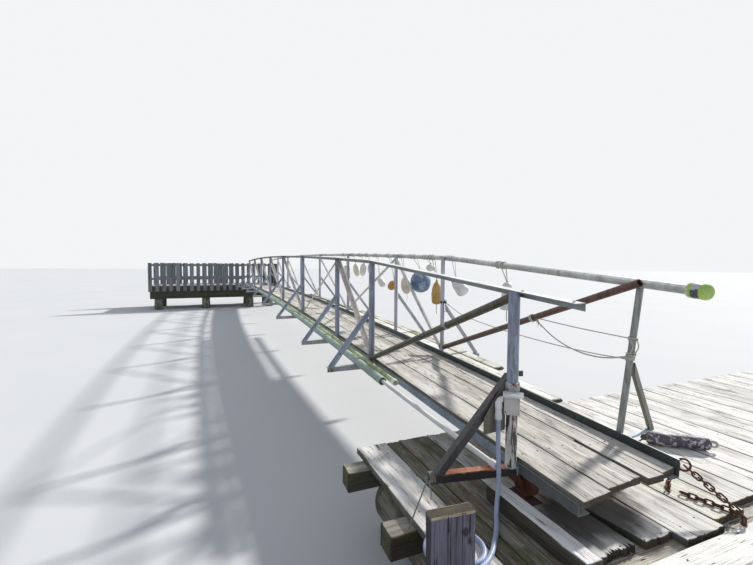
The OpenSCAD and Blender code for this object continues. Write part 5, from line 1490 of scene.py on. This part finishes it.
def make_fender():
    a, b = xyz(-0.045, -1.430, 0.652), xyz(0.250, -1.050, 0.652)
    way = (b - a).normalized()
    shape = Shape()
    revolve(shape, a, way, FENDER_BODY, 48, 0, lumps=0.0035, seed=2)
    for s in (0.072, 0.409):
        rib = [(0, 0.0470), (0.001, 0.0505), (0.004, 0.0515), (0.007, 0.0505), (0.008, 0.0470)]
        revolve(shape, a + way * (s - 0.004), way, rib, 48, 0, closed=True)
    ring(shape, a + way * 0.003, xyz(-0.45, 0.80, 0.42), 0.0200, 0.0085, 2)
    ring(shape, a + way * 0.473, xyz(0.2, 0.4, 0.9), 0.0130, 0.0065, 0, 26)
    coil(shape, a + way * 0.466, way, UP, 0.0185, 0.011, 2.6, 0.026, kind=1)
    end = a + way * 0.478
    rope(shape, [end + xyz(0, 0, -0.02), end + xyz(0.012, 0.020, -0.038), end + xyz(-0.004, 0.052, -0.046),
                 end + xyz(-0.040, 0.070, -0.046), end + xyz(-0.080, 0.062, -0.046)], 0.011, 1)
    shape.done("vinyl_fender", "float", ["vinyl", "rope_moss", "vinyl_eye"], ["fender"], "fender_vinyl", sharp=60)


make_fender()

NAIL = [(0, 0), (0, 0.0042), (0.0046, 0.0042), (0.0052, 0.0026), (0.0054, 0)]
SCREW = [(0, 0), (0, 0.0055), (0.0042, 0.0055), (0.0049, 0.0033), (0.0051, 0)]


def make_float_fittings():
    shape = Shape()
    timber(shape, box_frame("X", (0, 0.276, FLOAT_DECK - 0.0008)), -0.075, 0.130, 0.118, 0.0034, 651, kind=1,
           step=0.02, columns=8, chamfer=0.0008, wear=0.25, ragged=0.004)
    # nails where the boards cross the bearers
    rng = random.Random(31)
    spots = []
    rows = [(y, FLOAT_BOARD, (-0.520, 0.115, 0.812, 1.112), (0.2, 0.8)) for y in FLOAT_SIDES]
    rows += [(y, w, (-0.500, 0.115, 0.812), (0.25, 0.75)) for y, w, *_ in LEFT_BOARDS]
    for y, w, bearers, parts in rows:
        spots += [(x + rng.uniform(-0.03, 0.03), y - part * w) for x in bearers for part in parts]
    for x in WALK_PLANKS:
        spots += [(x + part * (WALK_PLANK - SEAM), y + rng.uniform(-0.03, 0.03))
                  for y in [OUTER_LOG] + LOG_SIDES for part in (0.2, 0.8)]
    for x, y in spots:
        revolve(shape, xyz(x, y, FLOAT_DECK - 0.004), UP, NAIL, 8)
    shape.done("float_nails_and_plate", "float", ["black_iron", "plate_rust"], slot="rusted_steel")


make_float_fittings()

# ---------------------------------------------------------------- bolts and welds of the gangway


def make_hardware():
    bolts, welds = Shape(), Shape()

    def cube(place, x, y, z, r, kind):
        block(bolts, place, xyz(x, 0, 0), xyz(0, y, 0), xyz(0, 0, z), r, kind)

    for i, x in enumerate(STATIONS):
        for s in (-1, 1):
            if i:
                for dx, dz in ((-0.012, -0.080), (0.012, -0.062)):
                    bolt(bolts, xyz(x + dx, s * (HALF_W + 0.006), CHORD_LINE[i] + dz), LEFT * s, 0.009)
                top = xyz(x - 0.010, s * (HALF_W + POST_LEG), CHORD_LINE[i] + 0.470)
                foot = xyz(x - 0.004, s * (HALF_W + 0.461), stub_top(i))
                weld(welds, top + xyz(-0.014, 0, -0.020), top + xyz(0.030, 0, -0.020))
                weld(welds, foot + xyz(-0.016, s * 0.010, 0.002), foot + xyz(0.026, s * 0.010, 0.002))
                weld(welds, *(xyz(x + dx, s * (HALF_W + 0.003), stub_top(i) + 0.001) for dx in (-0.024, 0.024)))
        # board screws at each cross bar
        for w, y, *_ in DECK_LINES:
            upper = -0.022 if y > 0 else -0.060
            for part in (0.22, 0.78):
                place = xyz(x + 0.004 * math.sin(37 * x + 90 * part), y - part * w, chord_z(x) + upper - 0.004)
                revolve(bolts, place, UP, SCREW, 8, 1)
    for x, z in ((0.945, 0.875), (0.505, 0.863), (0.250, 0.858)):
        bolt(bolts, xyz(x, HALF_W, z), LEFT, 0.009)
    ring_foot = xyz(0, POST_Y, stub_top(0))
    angles = [math.tau * k / 36 for k in range(36)]
    line = [ring_foot + xyz(0.034 * math.cos(a), 0.034 * math.sin(a), 0.001) for a in angles]
    sweep(welds, line, lambda s, a: 0.0045 * (0.8 + 0.3 * math.sin(s * 800)), 6)
    # the left rail's end: bolts, and the bright screw near the first post
    for x, y in ((-0.418, 0.468), (-0.060, 0.452), (-0.395, 0.440)):
        bolt(bolts, xyz(x, y, rail_z(x) + 0.006), UP, 0.008, 2)
    # clamp round the left diagonal, with its bolt
    a = xyz(0, POST_Y, CHORD_LINE[0] + RAIL_H - RAIL_DIP - 0.030)
    b = xyz(2.220, HALF_W + 0.027, CHORD_LINE[1] - 0.025)
    way = (b - a).normalized()
    spot = a.lerp(b, 0.318)
    cuff(bolts, spot - way * 0.011, way, 0.0255, 0.0290, 0.022)
    cube(spot + xyz(-0.010, 0.022, -0.010), 0.020, 0.020, 0.020, 0.002, 0)
    bolt(bolts, spot + xyz(-0.010, 0.032, 0), xyz(-1, 0.2, 0), 0.007)
    # hose clamp with its two tails on the right planks
    c = xyz(1.235, -0.700, chord_z(1.235) - 0.031)
    cube(c + xyz(-0.040, -0.022, -0.001), 0.080, 0.044, 0.030, 0.005, 3)
    cube(c + xyz(-0.034, -0.026, 0.026), 0.022, 0.052, 0.024, 0.004, 3)
    for turn in (0.3, -0.4):
        rope(bolts, [c + xyz(0.02, 0, 0.012), c + xyz(0.070, 0.03 * turn, 0.022), c + xyz(0.105, 0.06 * turn, 0.008)],
             0.008, 3)
    bolts.done("gangway_bolts", "gangway", ["zinc", "black_iron", "bright_zinc", "black"], slot="silver_paint")
    welds.done("gangway_welds", "gangway", ["zinc"], slot="silver_paint", sharp=80)


make_hardware()

# ---------------------------------------------------------------- light, floor and sky

FLOOR_HALF, FLOOR_MIDDLE = 120, (8, 0, -0.001)
FLOOR_IN_LIGHT = (0.34, 0.35, 0.36)
TOWARDS_SUN = xyz(0.268, -0.808, 0.524)
SKY, SKY_STRENGTH, SKY_SEEN = (0.82, 0.89, 1.0, 1), 0.42, (0.90, 0.91, 0.92, 1)


def seen_rays(tree):
    """1 for rays of the camera, of reflections and through glass, and 0 for those that only light the part."""
    path = tree.nodes.new("ShaderNodeLightPath")
    total = path.outputs["Is Camera Ray"]
    for name in ("Is Glossy Ray", "Is Transmission Ray"):
        node = tree.nodes.new("ShaderNodeMath")
        node.operation = "MAXIMUM"
        tree.links.new(total, node.inputs[0])
        tree.links.new(path.outputs[name], node.inputs[1])
        total = node.outputs[0]
    return total


def make_surroundings():
    p = Paint("floor", roughness=0.9)
    pale = p.ramp(p.noise(p.place, 0.35, detail=2), (0.3, (0.74, 0.75, 0.76)), (0.7, (0.77, 0.775, 0.78)))
    corners = [(x * FLOOR_HALF, y * FLOOR_HALF, 0) for x, y in ((-1, -1), (1, -1), (1, 1), (-1, 1))]
    mesh = bpy.data.meshes.new("floor")
    mesh.from_pydata(corners, [], [(0, 1, 2, 3)])
    mesh.materials.append(p.finish(p.mix(seen_rays(p.tree), FLOOR_IN_LIGHT, pale)))
    floor = link("floor", mesh)
    floor.location = FLOOR_MIDDLE

    sun = bpy.data.lights.new("sun", "SUN")
    sun.energy, sun.angle, sun.color = 4.0, math.radians(3.5), (1.0, 0.975, 0.94)
    link("sun", sun).rotation_euler = TOWARDS_SUN.to_track_quat("Z", "Y").to_euler()

    world = bpy.data.worlds.new("world")
    bpy.context.scene.world = world
    world.use_nodes = True
    tree = world.node_tree
    sky = tree.nodes["Background"]
    sky.inputs["Color"].default_value = SKY
    sky.inputs["Strength"].default_value = SKY_STRENGTH
    shown = tree.nodes.new("ShaderNodeBackground")
    shown.inputs["Color"].default_value = SKY_SEEN
    mix = tree.nodes.new("ShaderNodeMixShader")
    tree.links.new(seen_rays(tree), mix.inputs[0])
    tree.links.new(sky.outputs[0], mix.inputs[1])
    tree.links.new(shown.outputs[0], mix.inputs[2])
    tree.links.new(mix.outputs[0], tree.nodes["World Output"].inputs["Surface"])
    bpy.context.scene.view_settings.view_transform = "Standard"


make_surroundings()
